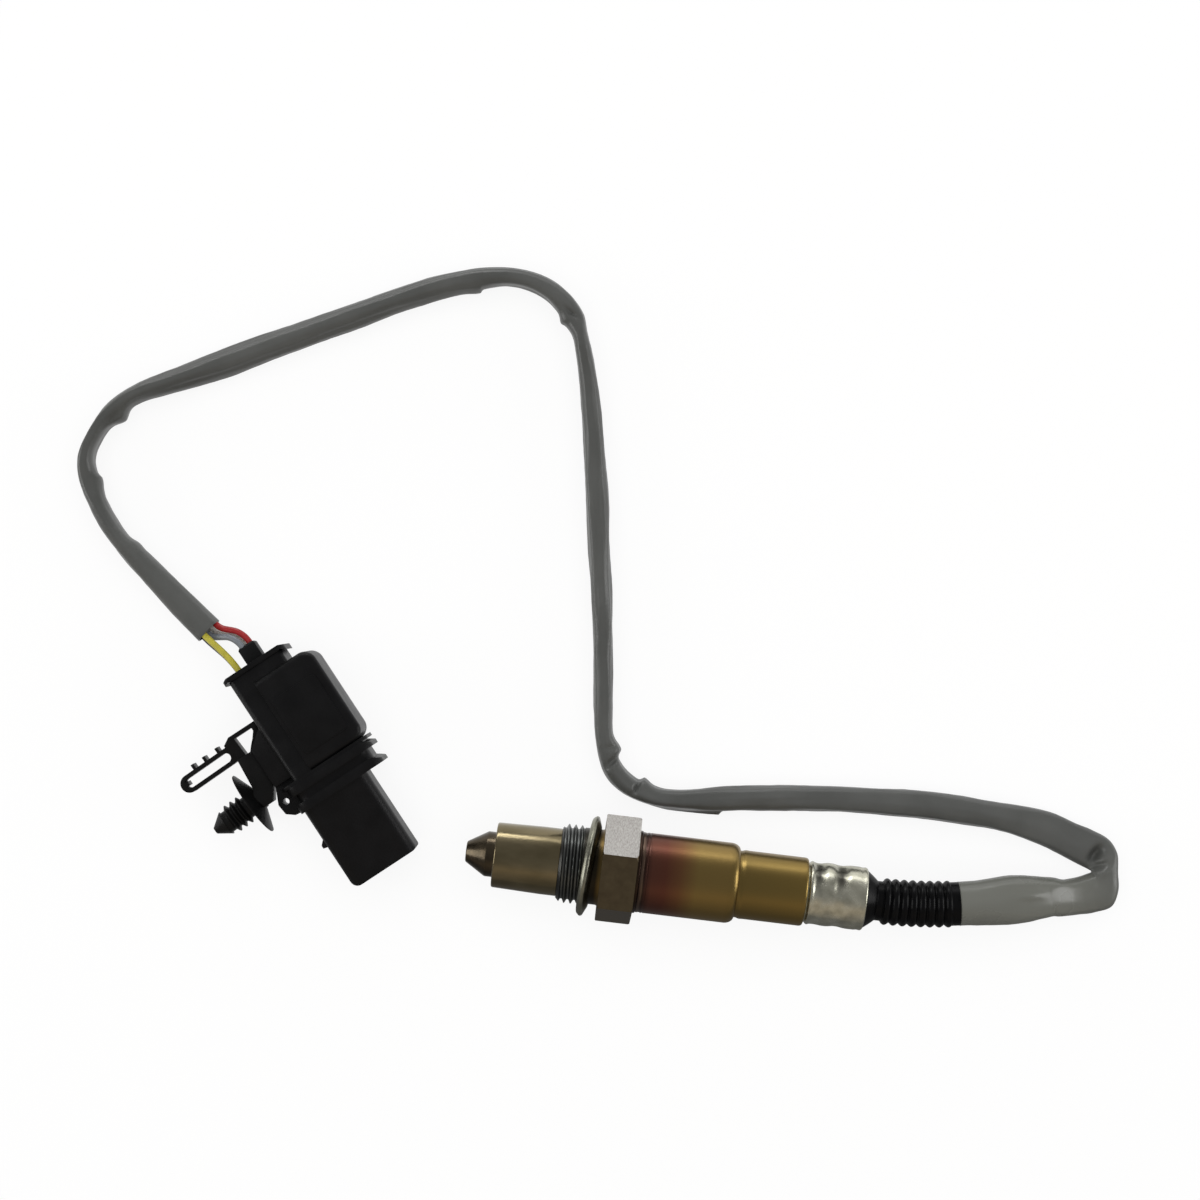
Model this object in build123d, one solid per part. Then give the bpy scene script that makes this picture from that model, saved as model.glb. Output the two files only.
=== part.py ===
from build123d import *
import os
from math import cos, pi, radians, sin, tan

# A screw-in exhaust oxygen sensor with its sleeved cable, plug and mounting clip, laid on a flat surface.
# Origin: on the sensor's axis, in the plane of the hexagon's front face, where the sealing ring seats.
# +X runs along the sensor's axis towards its cable, +Z is up. All sizes are in millimetres.

# ---- steel housing ---------------------------------------------------------------------------
THREAD_D = 18.0            # M18 x 1.5, major diameter
THREAD_START = -8.6        # full thread, end nearer the tip
THREAD_END = -4.7          # full thread, end nearer the seat
THREAD_LEAD = 1.0          # length of the lead-in chamfer
NECK_D = 17.2              # relief groove that the sealing ring sits in
NECK_RUNOUT = 0.3
HEX_AF = 22.0
HEX_LENGTH = 8.0
HEX_ROLL = 10.5            # degrees that a corner stands above +Y
HEX_FRONT_CHAMFER = 0.25   # along the axis
HEX_REAR_CHAMFER = 0.45    # along the axis
CHAMFER_DROP = 0.4         # how far a chamfer cuts the corners down
COLLAR_D = 18.8
COLLAR_LENGTH = 0.7
BORE_D = 12.0              # for the ceramics and the talc
FRONT_BORE_D = 7.8
BORE_CONE_START = -6.5
BORE_CONE_END = -5.0
SPIGOT_LENGTH = 4.8        # rear spigot inside the shield tube
SWAGE_D = 9.2              # rear lip folded in over the rear ceramic
SWAGE_LENGTH = 1.4
FIT = 0.05                 # radial clearance between assembled round pieces

# ---- sealing ring ----------------------------------------------------------------------------
RING_OD = 23.4
RING_ID = 17.6
RING_THICKNESS = 2.4
RING_SHEET = 0.45          # sheet metal it is folded from
RING_RIDGE = 0.25          # width of the fold at its outer edge
RING_FLAP = 0.9            # height of the sheet turned back up inside
RING_X = -2.63             # the loose ring's middle
RING_COCK = 3.6            # degrees, its +Y edge leaning towards the cable
RING_DROP = 0.05           # it hangs on the neck

# ---- protection tubes ------------------------------------------------------------------------
OUTER_TUBE_REAR_D = 15.4
OUTER_TUBE_FRONT_D = 14.8
OUTER_TUBE_FRONT = -24.5
OUTER_TUBE_REAR = -9.6
OUTER_TUBE_WALL = 0.5
OUTER_TUBE_EDGE = 0.45     # edge radius at the front
GAS_HOLES = 8
GAS_HOLE_D = 1.1
INNER_TUBE_D = 10.3
INNER_TUBE_WALL = 0.4
NOSE_SHOULDER = -26.3
NOSE_TIP = -31.0
NOSE_TIP_D = 4.6
NOSE_HOLE_D = 1.6
INNER_FLANGE = 0.5         # flange clamped between the housing and the outer tube
SPIGOT_FRONT = -13.0       # front of the housing's spigot

# ---- inside the housing ----------------------------------------------------------------------
ELEMENT_WIDTH = 4.0
ELEMENT_THICKNESS = 1.4
ELEMENT_TIP = -25.0
ELEMENT_REAR = 40.0
ELEMENT_CLEARANCE = 0.05
FRONT_CERAMIC_START = -12.0
TALC_START = 0.0
TALC_LENGTH = 3.2

# ---- shield tube -----------------------------------------------------------------------------
SHIELD_D = 18.3
SHIELD_WALL = 0.5
SHIELD_STEP_START = 29.5
SHIELD_STEP_END = 31.9
SHIELD_SMALL_D = 15.6
SHIELD_END = 46.9
SHIELD_END_RADIUS = 0.5

# ---- contacts inside the shield tube ---------------------------------------------------------
HOLDER_D = 13.0
HOLDER_START = 33.0
HOLDER_END = 44.5
POCKET_WIDTH = 4.8
POCKET_HEIGHT = 1.9        # above and below the split plane
SPRING_BAND_WALL = 0.3
SPRING_BAND_START = 35.5
SPRING_BAND_LENGTH = 6.0
SPRING_RIBS = 12
STRIP_WIDTH = 0.7
STRIP_THICKNESS = 0.25
STRIP_START = 34.5
STRIP_TOUCH = 37.0
STRIP_RISE = 41.0
LEAD_START = 46.0
LEAD_D = 1.5
LEAD_CIRCLE_R = 2.3

# ---- crimp sleeve, grommet and boot ----------------------------------------------------------
CRIMP_D = 14.4
CRIMP_WALL = 0.9
CRIMP_START = 45.0
CRIMP_END = 60.6
CRIMP_EDGE = 0.5
CRIMP_GROOVES = (50.0, 55.5)
CRIMP_GROOVE_WIDTH = 1.8
CRIMP_GROOVE_AF = 13.5
CRIMP_FLATS = 8
GROMMET_START = 47.5
GROMMET_END = 58.0
BOOT_CONE_END = 63.2
BOOT_NECK_D = 8.9
BOOT_VALLEY_D = 9.6
BOOT_CREST_D = 10.8
BOOT_BORE_D = 6.8
BOOT_LENGTH = 19.0         # from the cone's end, along the bend
BOOT_BEND_R = 117.0        # towards +Y
RIBS = 8
RIB_PITCH = 2.03
FIRST_RIB = 2.2            # from the cone's end
RIB_WIDTH = 1.5            # at its root
BOOT_LIP_D = 9.9
BOOT_LIP_LENGTH = 2.2

# ---- cable -----------------------------------------------------------------------------------
SLEEVE_D = 6.5
WIRE_D = 1.5
FLOOR = -HEX_AF / 2 / cos(pi / 6) * sin(radians(120 - HEX_ROLL))   # the lowest corner of the hexagon
LIE = FLOOR + SLEEVE_D / 2     # height of the sleeve's middle where it lies
SLEEVE_FIRST_RUN = 9.7     # straight out of the boot
SLEEVE_POINTS = [          # after the first run
    (100.6, 4.3, -3.2), (107.7, 5.5, -6.6),
    (114.0, 6.6, LIE), (116.7, 11.5, LIE), (114.7, 16.8, LIE), (109.3, 18.6, LIE),
    (99.9, 20.8, LIE), (86.9, 22.2, LIE), (72.9, 22.6, LIE), (55.5, 21.7, LIE), (37.0, 20.0, LIE),
    (21.0, 17.4, LIE), (9.2, 16.3, LIE), (0.7, 20.3, LIE), (-2.4, 28.1, LIE), (-3.9, 40.0, LIE),
    (-6.7, 58.3, LIE), (-10.9, 81.2, LIE), (-14.4, 101.8, LIE), (-17.4, 115.4, LIE),
    (-20.6, 124.3, LIE), (-26.2, 130.0, LIE), (-34.9, 132.6, LIE), (-44.0, 131.3, LIE),
    (-55.2, 127.2, LIE), (-72.9, 118.7, LIE), (-92.2, 108.7, LIE), (-109.3, 100.1, LIE),
    (-120.6, 94.8, LIE), (-127.5, 88.1, LIE), (-130.1, 78.5, LIE), (-126.4, 69.1, LIE),
    (-118.3, 59.8, LIE), (-107.7, 51.3, LIE + 0.5), (-97.0, 43.3, LIE + 2.4),
]

# ---- connector: x runs from its wires to its mating end, y to its right, z up ----------------
BODY_HALF_HEIGHT = 8.5
CONNECTOR_TURN = -49.84    # degrees about +Z
CONNECTOR = Location((-55.6, 15.4, FLOOR + BODY_HALF_HEIGHT), (0, 0, CONNECTOR_TURN))
PLUG_LENGTH = 20.8
PLUG_WIDTH = 17.0          # from the reference edge towards -y
PLUG_HEIGHT = 13.0
PLUG_CORNER = 2.6
PLUG_END_LEFT = 2.2        # corner radii of the mouth, seen from above
PLUG_END_RIGHT = 0.9
PLUG_WALL = 1.6
SOCKET_FLOOR = 6.0
LATCH_X = 8.5
LATCH_OUT = 1.1
RIB_RIGHT = 4.8
RIB_LEFT = -17.6
RIB_PLANES = ((-2.2, 0.0), (-6.4, -4.3))
RIB_CORNER = 3.0
RIB_TIP = 0.9              # thickness that a rib tapers to at its right edge
RIB_TAPER = 2.0            # how far in the taper starts
GROOVE_RIGHT = 3.2
GROOVE_LEFT = -16.5
GROOVE_HEIGHT = 14.4
SHOULDER_END = -7.2
SHOULDER_RIGHT = 4.6
SHOULDER_LEFT = -18.5
SHOULDER_HEIGHT = 16.0
TRAY_RIGHT = -1.0
TRAY_LEFT = -15.1
TRAY_HEIGHT = 14.0
TRAY_END = -34.0
TRAY_WALL = 1.5
CHAMBER_FRONT = -5.0
RAIL_OUT = -19.5           # y of the clip rail's face
RAIL_HEIGHT = 9.0
RAIL_END = -8.5
LUG_HEIGHT = 6.0
LUG_CORNER = 0.4
LUG_HOLE = (-4.4, -19.4)
LUG_HOLE_D = 1.6
COVER_RIGHT = 4.8
COVER_LEFT = -10.0
COVER_END = -31.0
COVER_CORNER = 3.0
COVER_EDGE = 1.4
COVER_WALL = 1.6
COVER_CLEARANCE = 0.05
PANEL_X = (-25.3, -10.8)
PANEL_Y = (-9.0, 2.6)
PANEL_CORNER = 1.2
PANEL_RISE = 0.4
CAP_THICKNESS = 1.2
CAP_RIGHT = 0.2
CAP_LEFT = -16.2
CAP_HEIGHT = 14.8
CAP_CORNER = 2.0
CAP_LIP = 0.5              # thickness of the lips at its two sides
CAP_HOOK = 0.7             # how far the lips turn forward past the plate
GUIDE_END = -39.5
GUIDE_Y = (-9.7, -5.5)
GUIDE_HEIGHT = 5.2
GUIDE_CHAMFER = 0.4
SEAL_THICKNESS = 3.0
PIN_D = 1.5
PIN_HOLE_D = 1.7
PIN_END = 13.0
PIN_CHAMFER = 0.4
PIN_BODY = 2.2
BARREL_END = -17.0
TERMINAL_END = -21.0
PIN_ROWS = (2.0, -2.0)
PIN_COLUMNS = (-4.5, -8.5, -12.5)
LOCK_THICKNESS = 2.2
FACE_SEAL_LENGTH = 2.0
FACE_SEAL_WIDTH = 1.0
WIRE_HOLE_CLEARANCE = 0.05
JOG_START = 3.2            # from the seal to where the wires turn to their terminals
JOG_END = -23.5
WIRES = {                  # offsets in the sleeve's end (right, up), entry x, y, z, and the pin's y, z
    "wire_red": ((2.3, 0.7), (GUIDE_END, -6.7, 0.2), (PIN_COLUMNS[0], PIN_ROWS[0])),
    "wire_white": ((0.6, -2.0), (GUIDE_END, -7.6, -1.6), (PIN_COLUMNS[0], PIN_ROWS[1])),
    "wire_grey": ((-0.5, 0.2), (GUIDE_END, -8.5, 1.6), (PIN_COLUMNS[1], PIN_ROWS[0])),
    "wire_yellow": ((-1.2, 2.1), (TRAY_END - CAP_THICKNESS, -12.1, 2.0), (PIN_COLUMNS[2], PIN_ROWS[0])),
    "wire_black": ((-1.9, -1.3), (TRAY_END - CAP_THICKNESS, -12.6, -1.5), (PIN_COLUMNS[2], PIN_ROWS[1])),
}
WIRE_STRAIGHT = 2.6        # straight start of a wire's free run
WIRE_APPROACH = 2.8        # straight end of it

# ---- trim resistor board ---------------------------------------------------------------------
BOARD_X = (-24.0, -13.0)
BOARD_HEIGHT = 8.0
BOARD_THICKNESS = 0.8
CHIP_X = (-21.0, -16.0)
CHIP_THICKNESS = 0.6

# ---- mounting clip ---------------------------------------------------------------------------
CLIP_HEIGHT = 7.0
ARM_HEIGHT = 4.4
CLIP_GAP = 0.05
STEM_ROOT = (-8.35, -23.8)
STEM_TURN = -87.0          # degrees about +Z from the connector's x
STEM_CORE_D = 5.2
UMBRELLA_D = 15.6
UMBRELLA_X = 2.5           # rim, from the stem's root
UMBRELLA_RIM = 0.2         # thickness at the rim
UMBRELLA_BACK = 2.0        # how far its back slopes down behind the rim
UMBRELLA_FRONT = (0.7, 3.7)        # how far its face slopes down, and to what radius
FIN_D = 7.0
FIN_TIP = 0.15
FIN_STATIONS = (5.0, 6.6, 8.2)
FIN_RISE = 0.5             # length of a fin's slope behind its tip, and before it
FIN_FALL = 0.75
HEAD_START = 10.1
HEAD_D = 6.0
HEAD_LENGTH = 3.1
HEAD_TIP_D = 1.6
LOOP_START = (-20.3, -22.4)
LOOP_TURN = -88.5
LOOP_LENGTH = 15.4
LOOP_WIDTH = 4.2
LOOP_BAND = 1.0
LOOP_TEETH = (3.8, 7.3, 10.4)      # their places along the strap
LOOP_TOOTH = (0.7, 1.5)    # length and height of a tooth
LOOP_ROOT = 1.0            # how much thicker the strap is at its root than at its end
LOOP_NIB = (1.4, 1.0)      # small block inside the far end


def turned(points):
    """Solid of revolution about the sensor's axis from (x, radius) corners."""
    return revolve(make_face(Polyline(*points, close=True)), Axis.X)


def tube(start, end, outer, inner=0.0):
    """Plain ring or rod along X between two stations."""
    section = Circle(outer) - Circle(inner) if inner else Circle(outer)
    return extrude(Plane.YZ.offset(start) * section, end - start)


def bar(start, end, width, height, y=0.0, z=0.0, corner=0.0):
    """Rectangular or round-cornered bar along X."""
    section = RectangleRounded(width, height, corner) if corner else Rectangle(width, height)
    return extrude(Plane.YZ.offset(start) * Pos(y, z) * section, end - start)


def plate(points, height, corner=0.0):
    """Flat outline in the XY plane, extruded evenly above and below it."""
    outline = make_face(Polyline(*points, close=True))
    if corner:
        outline = fillet(outline.vertices(), corner)
    return extrude(outline, height / 2, both=True)


def element_slot(start, end):
    """Passage for the flat sensing element."""
    gap = 2 * ELEMENT_CLEARANCE
    return bar(start, end, ELEMENT_WIDTH + gap, ELEMENT_THICKNESS + gap)


# ---- the sensor's rigid pieces ---------------------------------------------------------------
def hexagon():
    """Wrench hexagon with both ends chamfered by cones."""
    corner_r = HEX_AF / 2 / cos(pi / 6)
    low_r = corner_r - CHAMFER_DROP
    prism = extrude(
        Plane.YZ * RegularPolygon(HEX_AF / 2, 6, major_radius=False, rotation=HEX_ROLL), HEX_LENGTH
    )
    envelope = turned([
        (0, 0), (0, low_r), (HEX_FRONT_CHAMFER, corner_r + 0.1),
        (HEX_LENGTH - HEX_REAR_CHAMFER, corner_r + 0.1), (HEX_LENGTH, low_r), (HEX_LENGTH, 0),
    ])
    return prism & envelope


def housing():
    """Steel housing: front spigot, thread, relief groove, hexagon, collar and rear spigot, stepped bore."""
    spigot_r = OUTER_TUBE_REAR_D / 2 - OUTER_TUBE_WALL - FIT
    thread_r, neck_r = THREAD_D / 2, NECK_D / 2
    rear = HEX_LENGTH + COLLAR_LENGTH
    end = rear + SPIGOT_LENGTH
    outside = turned([
        (SPIGOT_FRONT, 0), (SPIGOT_FRONT, spigot_r), (OUTER_TUBE_REAR, spigot_r),
        (OUTER_TUBE_REAR, thread_r - THREAD_LEAD), (THREAD_START, thread_r), (THREAD_END, thread_r),
        (THREAD_END + NECK_RUNOUT, neck_r), (HEX_LENGTH / 2, neck_r), (HEX_LENGTH / 2, COLLAR_D / 2),
        (rear, COLLAR_D / 2), (rear, SHIELD_D / 2 - SHIELD_WALL - FIT),
        (end, SHIELD_D / 2 - SHIELD_WALL - FIT), (end, 0),
    ])
    bore_r, front_r = BORE_D / 2, FRONT_BORE_D / 2
    swage = end - SWAGE_LENGTH
    bore = turned([
        (SPIGOT_FRONT, 0), (SPIGOT_FRONT, front_r), (BORE_CONE_START, front_r), (BORE_CONE_END, bore_r),
        (swage, bore_r), (swage, SWAGE_D / 2), (end, SWAGE_D / 2), (end, 0),
    ])
    return outside + hexagon() - bore


def sealing_ring():
    """Crush ring of folded sheet metal, hollow, open at its bore, loose and cocked in its groove."""
    half = (RING_THICKNESS - RING_SHEET) / 2
    inner, outer = (RING_ID + RING_SHEET) / 2, RING_OD / 2 - RING_SHEET
    ridge = RING_RIDGE / 2
    fold = Polyline(
        (-half, inner), (-ridge, outer), (ridge, outer), (half, inner), (0, inner), (0, inner + RING_FLAP)
    )
    section = trace(fold, RING_SHEET)
    return Location((RING_X, 0, -RING_DROP), (0, 0, -RING_COCK)) * revolve(section, Axis.X)


def outer_protection_tube():
    """Drawn steel cup, slightly tapered, with gas holes in its front around the inner tube."""
    front_r, rear_r, wall = OUTER_TUBE_FRONT_D / 2, OUTER_TUBE_REAR_D / 2, OUTER_TUBE_WALL
    taper_end = SPIGOT_FRONT - INNER_FLANGE
    outline = make_face(Polyline(
        (OUTER_TUBE_FRONT, INNER_TUBE_D / 2 + FIT), (OUTER_TUBE_FRONT, front_r), (taper_end, rear_r),
        (OUTER_TUBE_REAR, rear_r), (OUTER_TUBE_REAR, rear_r - wall), (taper_end, rear_r - wall),
        (OUTER_TUBE_FRONT + wall, front_r - wall), (OUTER_TUBE_FRONT + wall, INNER_TUBE_D / 2 + FIT),
        close=True,
    ))
    edge = outline.vertices().sort_by_distance((OUTER_TUBE_FRONT, front_r))[0]
    cup = revolve(fillet(edge, OUTER_TUBE_EDGE), Axis.X)
    holes_r = (INNER_TUBE_D / 2 + front_r - wall) / 2
    hole = tube(OUTER_TUBE_FRONT - wall, OUTER_TUBE_FRONT + 2 * wall, GAS_HOLE_D / 2)
    for turn in range(GAS_HOLES):
        cup -= Rot(360 / GAS_HOLES * turn, 0, 0) * Pos(0, holes_r, 0) * hole
    return cup


def inner_protection_tube():
    """Thin inner tube with the coned nose that stands out of the outer tube, held by a rear flange."""
    wall, body_r, tip_r = INNER_TUBE_WALL, INNER_TUBE_D / 2, NOSE_TIP_D / 2
    flange_r = OUTER_TUBE_REAR_D / 2 - OUTER_TUBE_WALL - FIT
    flange_x = SPIGOT_FRONT - INNER_FLANGE
    outside = make_face(Polyline(
        (NOSE_TIP, 0), (NOSE_TIP, tip_r), (NOSE_SHOULDER, body_r), (flange_x, body_r),
        (flange_x, flange_r), (SPIGOT_FRONT, flange_r), (SPIGOT_FRONT, 0), close=True,
    ))
    outside = fillet(outside.vertices().filter_by(lambda v: v.X < NOSE_SHOULDER + 1 and v.Y > 1), 0.6)
    inside = turned([
        (NOSE_TIP + wall, 0), (NOSE_TIP + wall, tip_r - wall / 2),
        (NOSE_SHOULDER + wall / 2, body_r - wall),
        (SPIGOT_FRONT, body_r - wall), (SPIGOT_FRONT, 0),
    ])
    tip_hole = tube(NOSE_TIP - wall, NOSE_TIP + 2 * wall, NOSE_HOLE_D / 2)
    return revolve(outside, Axis.X) - inside - tip_hole


def sensing_element():
    """Flat laminated ceramic strip through the whole sensor."""
    return bar(ELEMENT_TIP, ELEMENT_REAR, ELEMENT_WIDTH, ELEMENT_THICKNESS)


def front_ceramic():
    """Coned ceramic bush that centres the element in the housing."""
    bore_r, front_r = BORE_D / 2 - FIT, FRONT_BORE_D / 2 - FIT
    body = turned([
        (FRONT_CERAMIC_START, 0), (FRONT_CERAMIC_START, front_r), (BORE_CONE_START, front_r),
        (BORE_CONE_END, bore_r), (TALC_START, bore_r), (TALC_START, 0),
    ])
    return body - element_slot(FRONT_CERAMIC_START, TALC_START)


def talc_seal():
    """Pressed powder ring that seals the element."""
    end = TALC_START + TALC_LENGTH
    return tube(TALC_START, end, BORE_D / 2 - FIT) - element_slot(TALC_START, end)


def rear_ceramic():
    """Ceramic bush held down by the housing's swaged lip."""
    start = TALC_START + TALC_LENGTH
    end = HEX_LENGTH + COLLAR_LENGTH + SPIGOT_LENGTH - SWAGE_LENGTH
    return tube(start, end, BORE_D / 2 - FIT) - element_slot(start, end)


def shield_tube():
    """Drawn steel sleeve: large part over the spigot, rounded step, small part over the crimp sleeve."""
    start = HEX_LENGTH + COLLAR_LENGTH
    large, small, wall = SHIELD_D / 2, SHIELD_SMALL_D / 2, SHIELD_WALL
    step = large - small
    inside = CRIMP_D / 2 + FIT
    outline = make_face(Polyline(
        (start, large - wall), (start, large), (SHIELD_STEP_START, large), (SHIELD_STEP_END, small),
        (SHIELD_END, small), (SHIELD_END, inside), (SHIELD_STEP_END - wall / 2, inside),
        (SHIELD_STEP_START - wall / 2, large - wall), close=True,
    ))
    outer_corner = outline.vertices().sort_by_distance((SHIELD_STEP_START, large))[0]
    outline = fillet(outer_corner, step)
    rim = outline.vertices().sort_by_distance((SHIELD_END, small))[0]
    return revolve(fillet(rim, SHIELD_END_RADIUS), Axis.X)


def holder_half(side):
    """One half of the split ceramic contact holder; side is +1 above the element and -1 below it."""
    body = tube(HOLDER_START, HOLDER_END, HOLDER_D / 2)
    keep = bar(HOLDER_START, HOLDER_END, HOLDER_D, HOLDER_D / 2, z=side * HOLDER_D / 4)
    pocket = bar(HOLDER_START, HOLDER_END, POCKET_WIDTH, 2 * POCKET_HEIGHT)
    return (body & keep) - pocket


def holder_spring():
    """Thin steel band with pressed ribs that clamps the holder halves and centres them in the tube."""
    end = SPRING_BAND_START + SPRING_BAND_LENGTH
    inner = HOLDER_D / 2 + FIT
    band = tube(SPRING_BAND_START, end, inner + SPRING_BAND_WALL, inner)
    room = CRIMP_D / 2 - inner
    rib_r = room / 2
    rib = tube(SPRING_BAND_START + 0.5, end - 0.5, rib_r)
    for turn in range(SPRING_RIBS):
        band += Rot(360 / SPRING_RIBS * turn, 0, 0) * Pos(0, inner + rib_r, 0) * rib
    return band


def contact_strip(y, side, end_z):
    """Sprung strip that bows onto the element and runs back to a lead; side is +1 above, -1 below."""
    touch = ELEMENT_THICKNESS / 2 + STRIP_THICKNESS / 2
    path = Polyline(
        (STRIP_START, 1.5 * side), (STRIP_TOUCH, touch * side), (STRIP_RISE, end_z * side),
        (LEAD_START, end_z * side),
    )
    profile = trace(path, STRIP_THICKNESS)
    strip = extrude(Plane.XZ * profile, STRIP_WIDTH / 2, both=True)
    return Pos(0, y, 0) * strip


def contact_springs():
    """Three strips above the element and two below it."""
    above = [contact_strip(y, 1, z) for y, z in ((-1.5, 1.2), (0.0, 1.7), (1.5, 1.2))]
    below = [contact_strip(y, -1, 1.5) for y in (-0.8, 0.8)]
    return Compound([s for strip in above + below for s in strip.solids()])


def crimp_sleeve():
    """Bright steel sleeve crimped onto the grommet in two grooves of flats."""
    outer = CRIMP_D / 2
    inner = outer - CRIMP_WALL
    body = tube(CRIMP_START, CRIMP_END, outer, inner)
    rear = body.edges().filter_by(GeomType.CIRCLE).sort_by(Axis.X)[-2:].sort_by(SortBy.RADIUS)[-1]
    body = fillet(rear, CRIMP_EDGE)
    for middle in CRIMP_GROOVES:
        start, end = middle - CRIMP_GROOVE_WIDTH / 2, middle + CRIMP_GROOVE_WIDTH / 2
        flats = RegularPolygon(CRIMP_GROOVE_AF / 2, CRIMP_FLATS, major_radius=False)
        core = extrude(Plane.YZ.offset(start) * flats, end - start)
        body -= tube(start, end, outer + 1) - core
    return body


def lead_spots():
    """(y, z) of the five leads on their circle, the first one at the top."""
    return [
        (LEAD_CIRCLE_R * cos(radians(90 - 72 * i)), LEAD_CIRCLE_R * sin(radians(90 - 72 * i)))
        for i in range(5)
    ]


def wire_grommet():
    """Rubber plug with five passages that seals the leads in the crimp sleeve."""
    body = tube(GROMMET_START, GROMMET_END, CRIMP_D / 2 - CRIMP_WALL - FIT)
    for y, z in lead_spots():
        body -= Pos(0, y, z) * tube(GROMMET_START, GROMMET_END, LEAD_D / 2 + FIT)
    return body


def boot_station(distance):
    """Frame on the boot's bent middle line, its local z along it, at a distance from the cone's end."""
    turn = distance / BOOT_BEND_R
    point = (BOOT_CONE_END + BOOT_BEND_R * sin(turn), BOOT_BEND_R * (1 - cos(turn)), 0)
    return Plane(origin=point, x_dir=(-sin(turn), cos(turn), 0), z_dir=(cos(turn), sin(turn), 0))


def boot_arc(length):
    """The boot's bent middle line."""
    start = boot_station(0)
    middle, end = boot_station(length / 2), boot_station(length)
    return ThreePointArc(start.origin, middle.origin, end.origin)


def corrugated_boot():
    """Rubber boot: root held in the crimp sleeve, cone, ribbed bend and end lip."""
    root_r, neck_r, bore_r = CRIMP_D / 2 - CRIMP_WALL - FIT, BOOT_NECK_D / 2, BOOT_BORE_D / 2
    cone = turned([
        (GROMMET_END, bore_r), (GROMMET_END, root_r), (CRIMP_END, root_r), (BOOT_CONE_END, neck_r),
        (BOOT_CONE_END, bore_r),
    ])
    section = boot_station(0) * (Circle(BOOT_VALLEY_D / 2) - Circle(bore_r))
    boot = cone + sweep(section, boot_arc(BOOT_LENGTH))
    half, crest, root = RIB_WIDTH / 2, BOOT_CREST_D / 2, (BOOT_VALLEY_D / 2 + bore_r) / 2
    outline = Polyline((root, -half), (crest, -half / 2), (crest, half / 2), (root, half), close=True)
    profile = make_face(outline)
    rib = revolve(Plane.XZ * profile, Axis.Z)
    for i in range(RIBS):
        boot += boot_station(FIRST_RIB + RIB_PITCH * i).location * rib
    lip_plane = boot_station(BOOT_LENGTH - BOOT_LIP_LENGTH)
    lip = extrude(lip_plane * (Circle(BOOT_LIP_D / 2) - Circle(bore_r + 0.3)), BOOT_LIP_LENGTH)
    return boot + (lip & tube(BOOT_CONE_END, 2 * BOOT_LENGTH + BOOT_CONE_END, BOOT_CREST_D))


def sensor_leads():
    """Five insulated leads from the contacts through the grommet to the boot's end."""
    path = Line((LEAD_START, 0, 0), (BOOT_CONE_END, 0, 0)) + boot_arc(BOOT_LENGTH)
    leads = []
    for y, z in lead_spots():
        section = Plane.YZ.offset(LEAD_START) * Pos(y, z) * Circle(LEAD_D / 2)
        leads += sweep(section, path).solids()
    return Compound(leads)


# ---- the cable -------------------------------------------------------------------------------
def corner_radii(points):
    """Largest tangent arcs: 0.45 of the shorter run over the tangent of half the turn."""
    radii = []
    for before, corner, after in zip(points, points[1:], points[2:]):
        one, two = Vector(*corner) - Vector(*before), Vector(*after) - Vector(*corner)
        turn = radians(one.get_angle(two))
        radii.append(0.45 * min(one.length, two.length) / tan(turn / 2))
    return radii


def swept_cord(points, diameter):
    """Round cord along straight runs joined by tangent arcs."""
    path = FilletPolyline(*points, radius=corner_radii(points))
    start = Plane(origin=points[0], z_dir=Vector(*points[1]) - Vector(*points[0]))
    return sweep(start * Circle(diameter / 2), path), path.length


def sleeve_points():
    """The sleeve's route: square out of the boot's end, then along its chosen points."""
    end = boot_station(BOOT_LENGTH)
    first = end.origin + end.z_dir * SLEEVE_FIRST_RUN
    return [tuple(end.origin), tuple(first)] + SLEEVE_POINTS


def cable_sleeve():
    """Soft grey sleeve over the five wires, as it lies."""
    points = sleeve_points()
    cord, length = swept_cord(points, SLEEVE_D)
    print("sleeve radii", [round(r, 1) for r in corner_radii(points)])
    print("sleeve length %.1f, volume over section %.1f" % (length, cord.volume / (pi * SLEEVE_D**2 / 4)))
    return cord


def connector_point(x, y, z):
    """A point of the connector's own frame in the part's frame."""
    point = (CONNECTOR * Pos(x, y, z)).position
    return (point.X, point.Y, point.Z)


def wire(name):
    """One wire from the sleeve's end into the connector and on to the back of its terminal."""
    (right, up), entry, pin = WIRES[name]
    before, end = Vector(*SLEEVE_POINTS[-2]), Vector(*SLEEVE_POINTS[-1])
    along = (end - before).normalized()
    sideways = Vector(-along.Y, along.X, 0).normalized()
    start = end + sideways * right + along.cross(sideways) * up
    leave = start + along * WIRE_STRAIGHT
    x, y, z = entry
    points = [
        tuple(start), tuple(leave),
        connector_point(x - WIRE_APPROACH, y, z),
        connector_point(TRAY_END + SEAL_THICKNESS + JOG_START, y, z),
        connector_point(JOG_END, *pin), connector_point(TERMINAL_END, *pin),
    ]
    return swept_cord(points, WIRE_D)[0]


# ---- the connector ---------------------------------------------------------------------------
def across(left, right):
    """Width and middle of a stretch along y."""
    return right - left, (left + right) / 2


def pin_holes(start, end):
    """Six round passages for the pins."""
    holes = []
    for y in PIN_COLUMNS:
        for z in PIN_ROWS:
            holes.append(Pos(0, y, z) * tube(start, end, PIN_HOLE_D / 2))
    return holes


def socket_room(start, end, shrink=0.0):
    """Inside of the plug's shroud."""
    inset = 2 * (PLUG_WALL + shrink)
    return bar(
        start, end, PLUG_WIDTH - inset, PLUG_HEIGHT - inset, y=-PLUG_WIDTH / 2,
        corner=max(PLUG_CORNER - PLUG_WALL - shrink, 0.2),
    )


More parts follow.
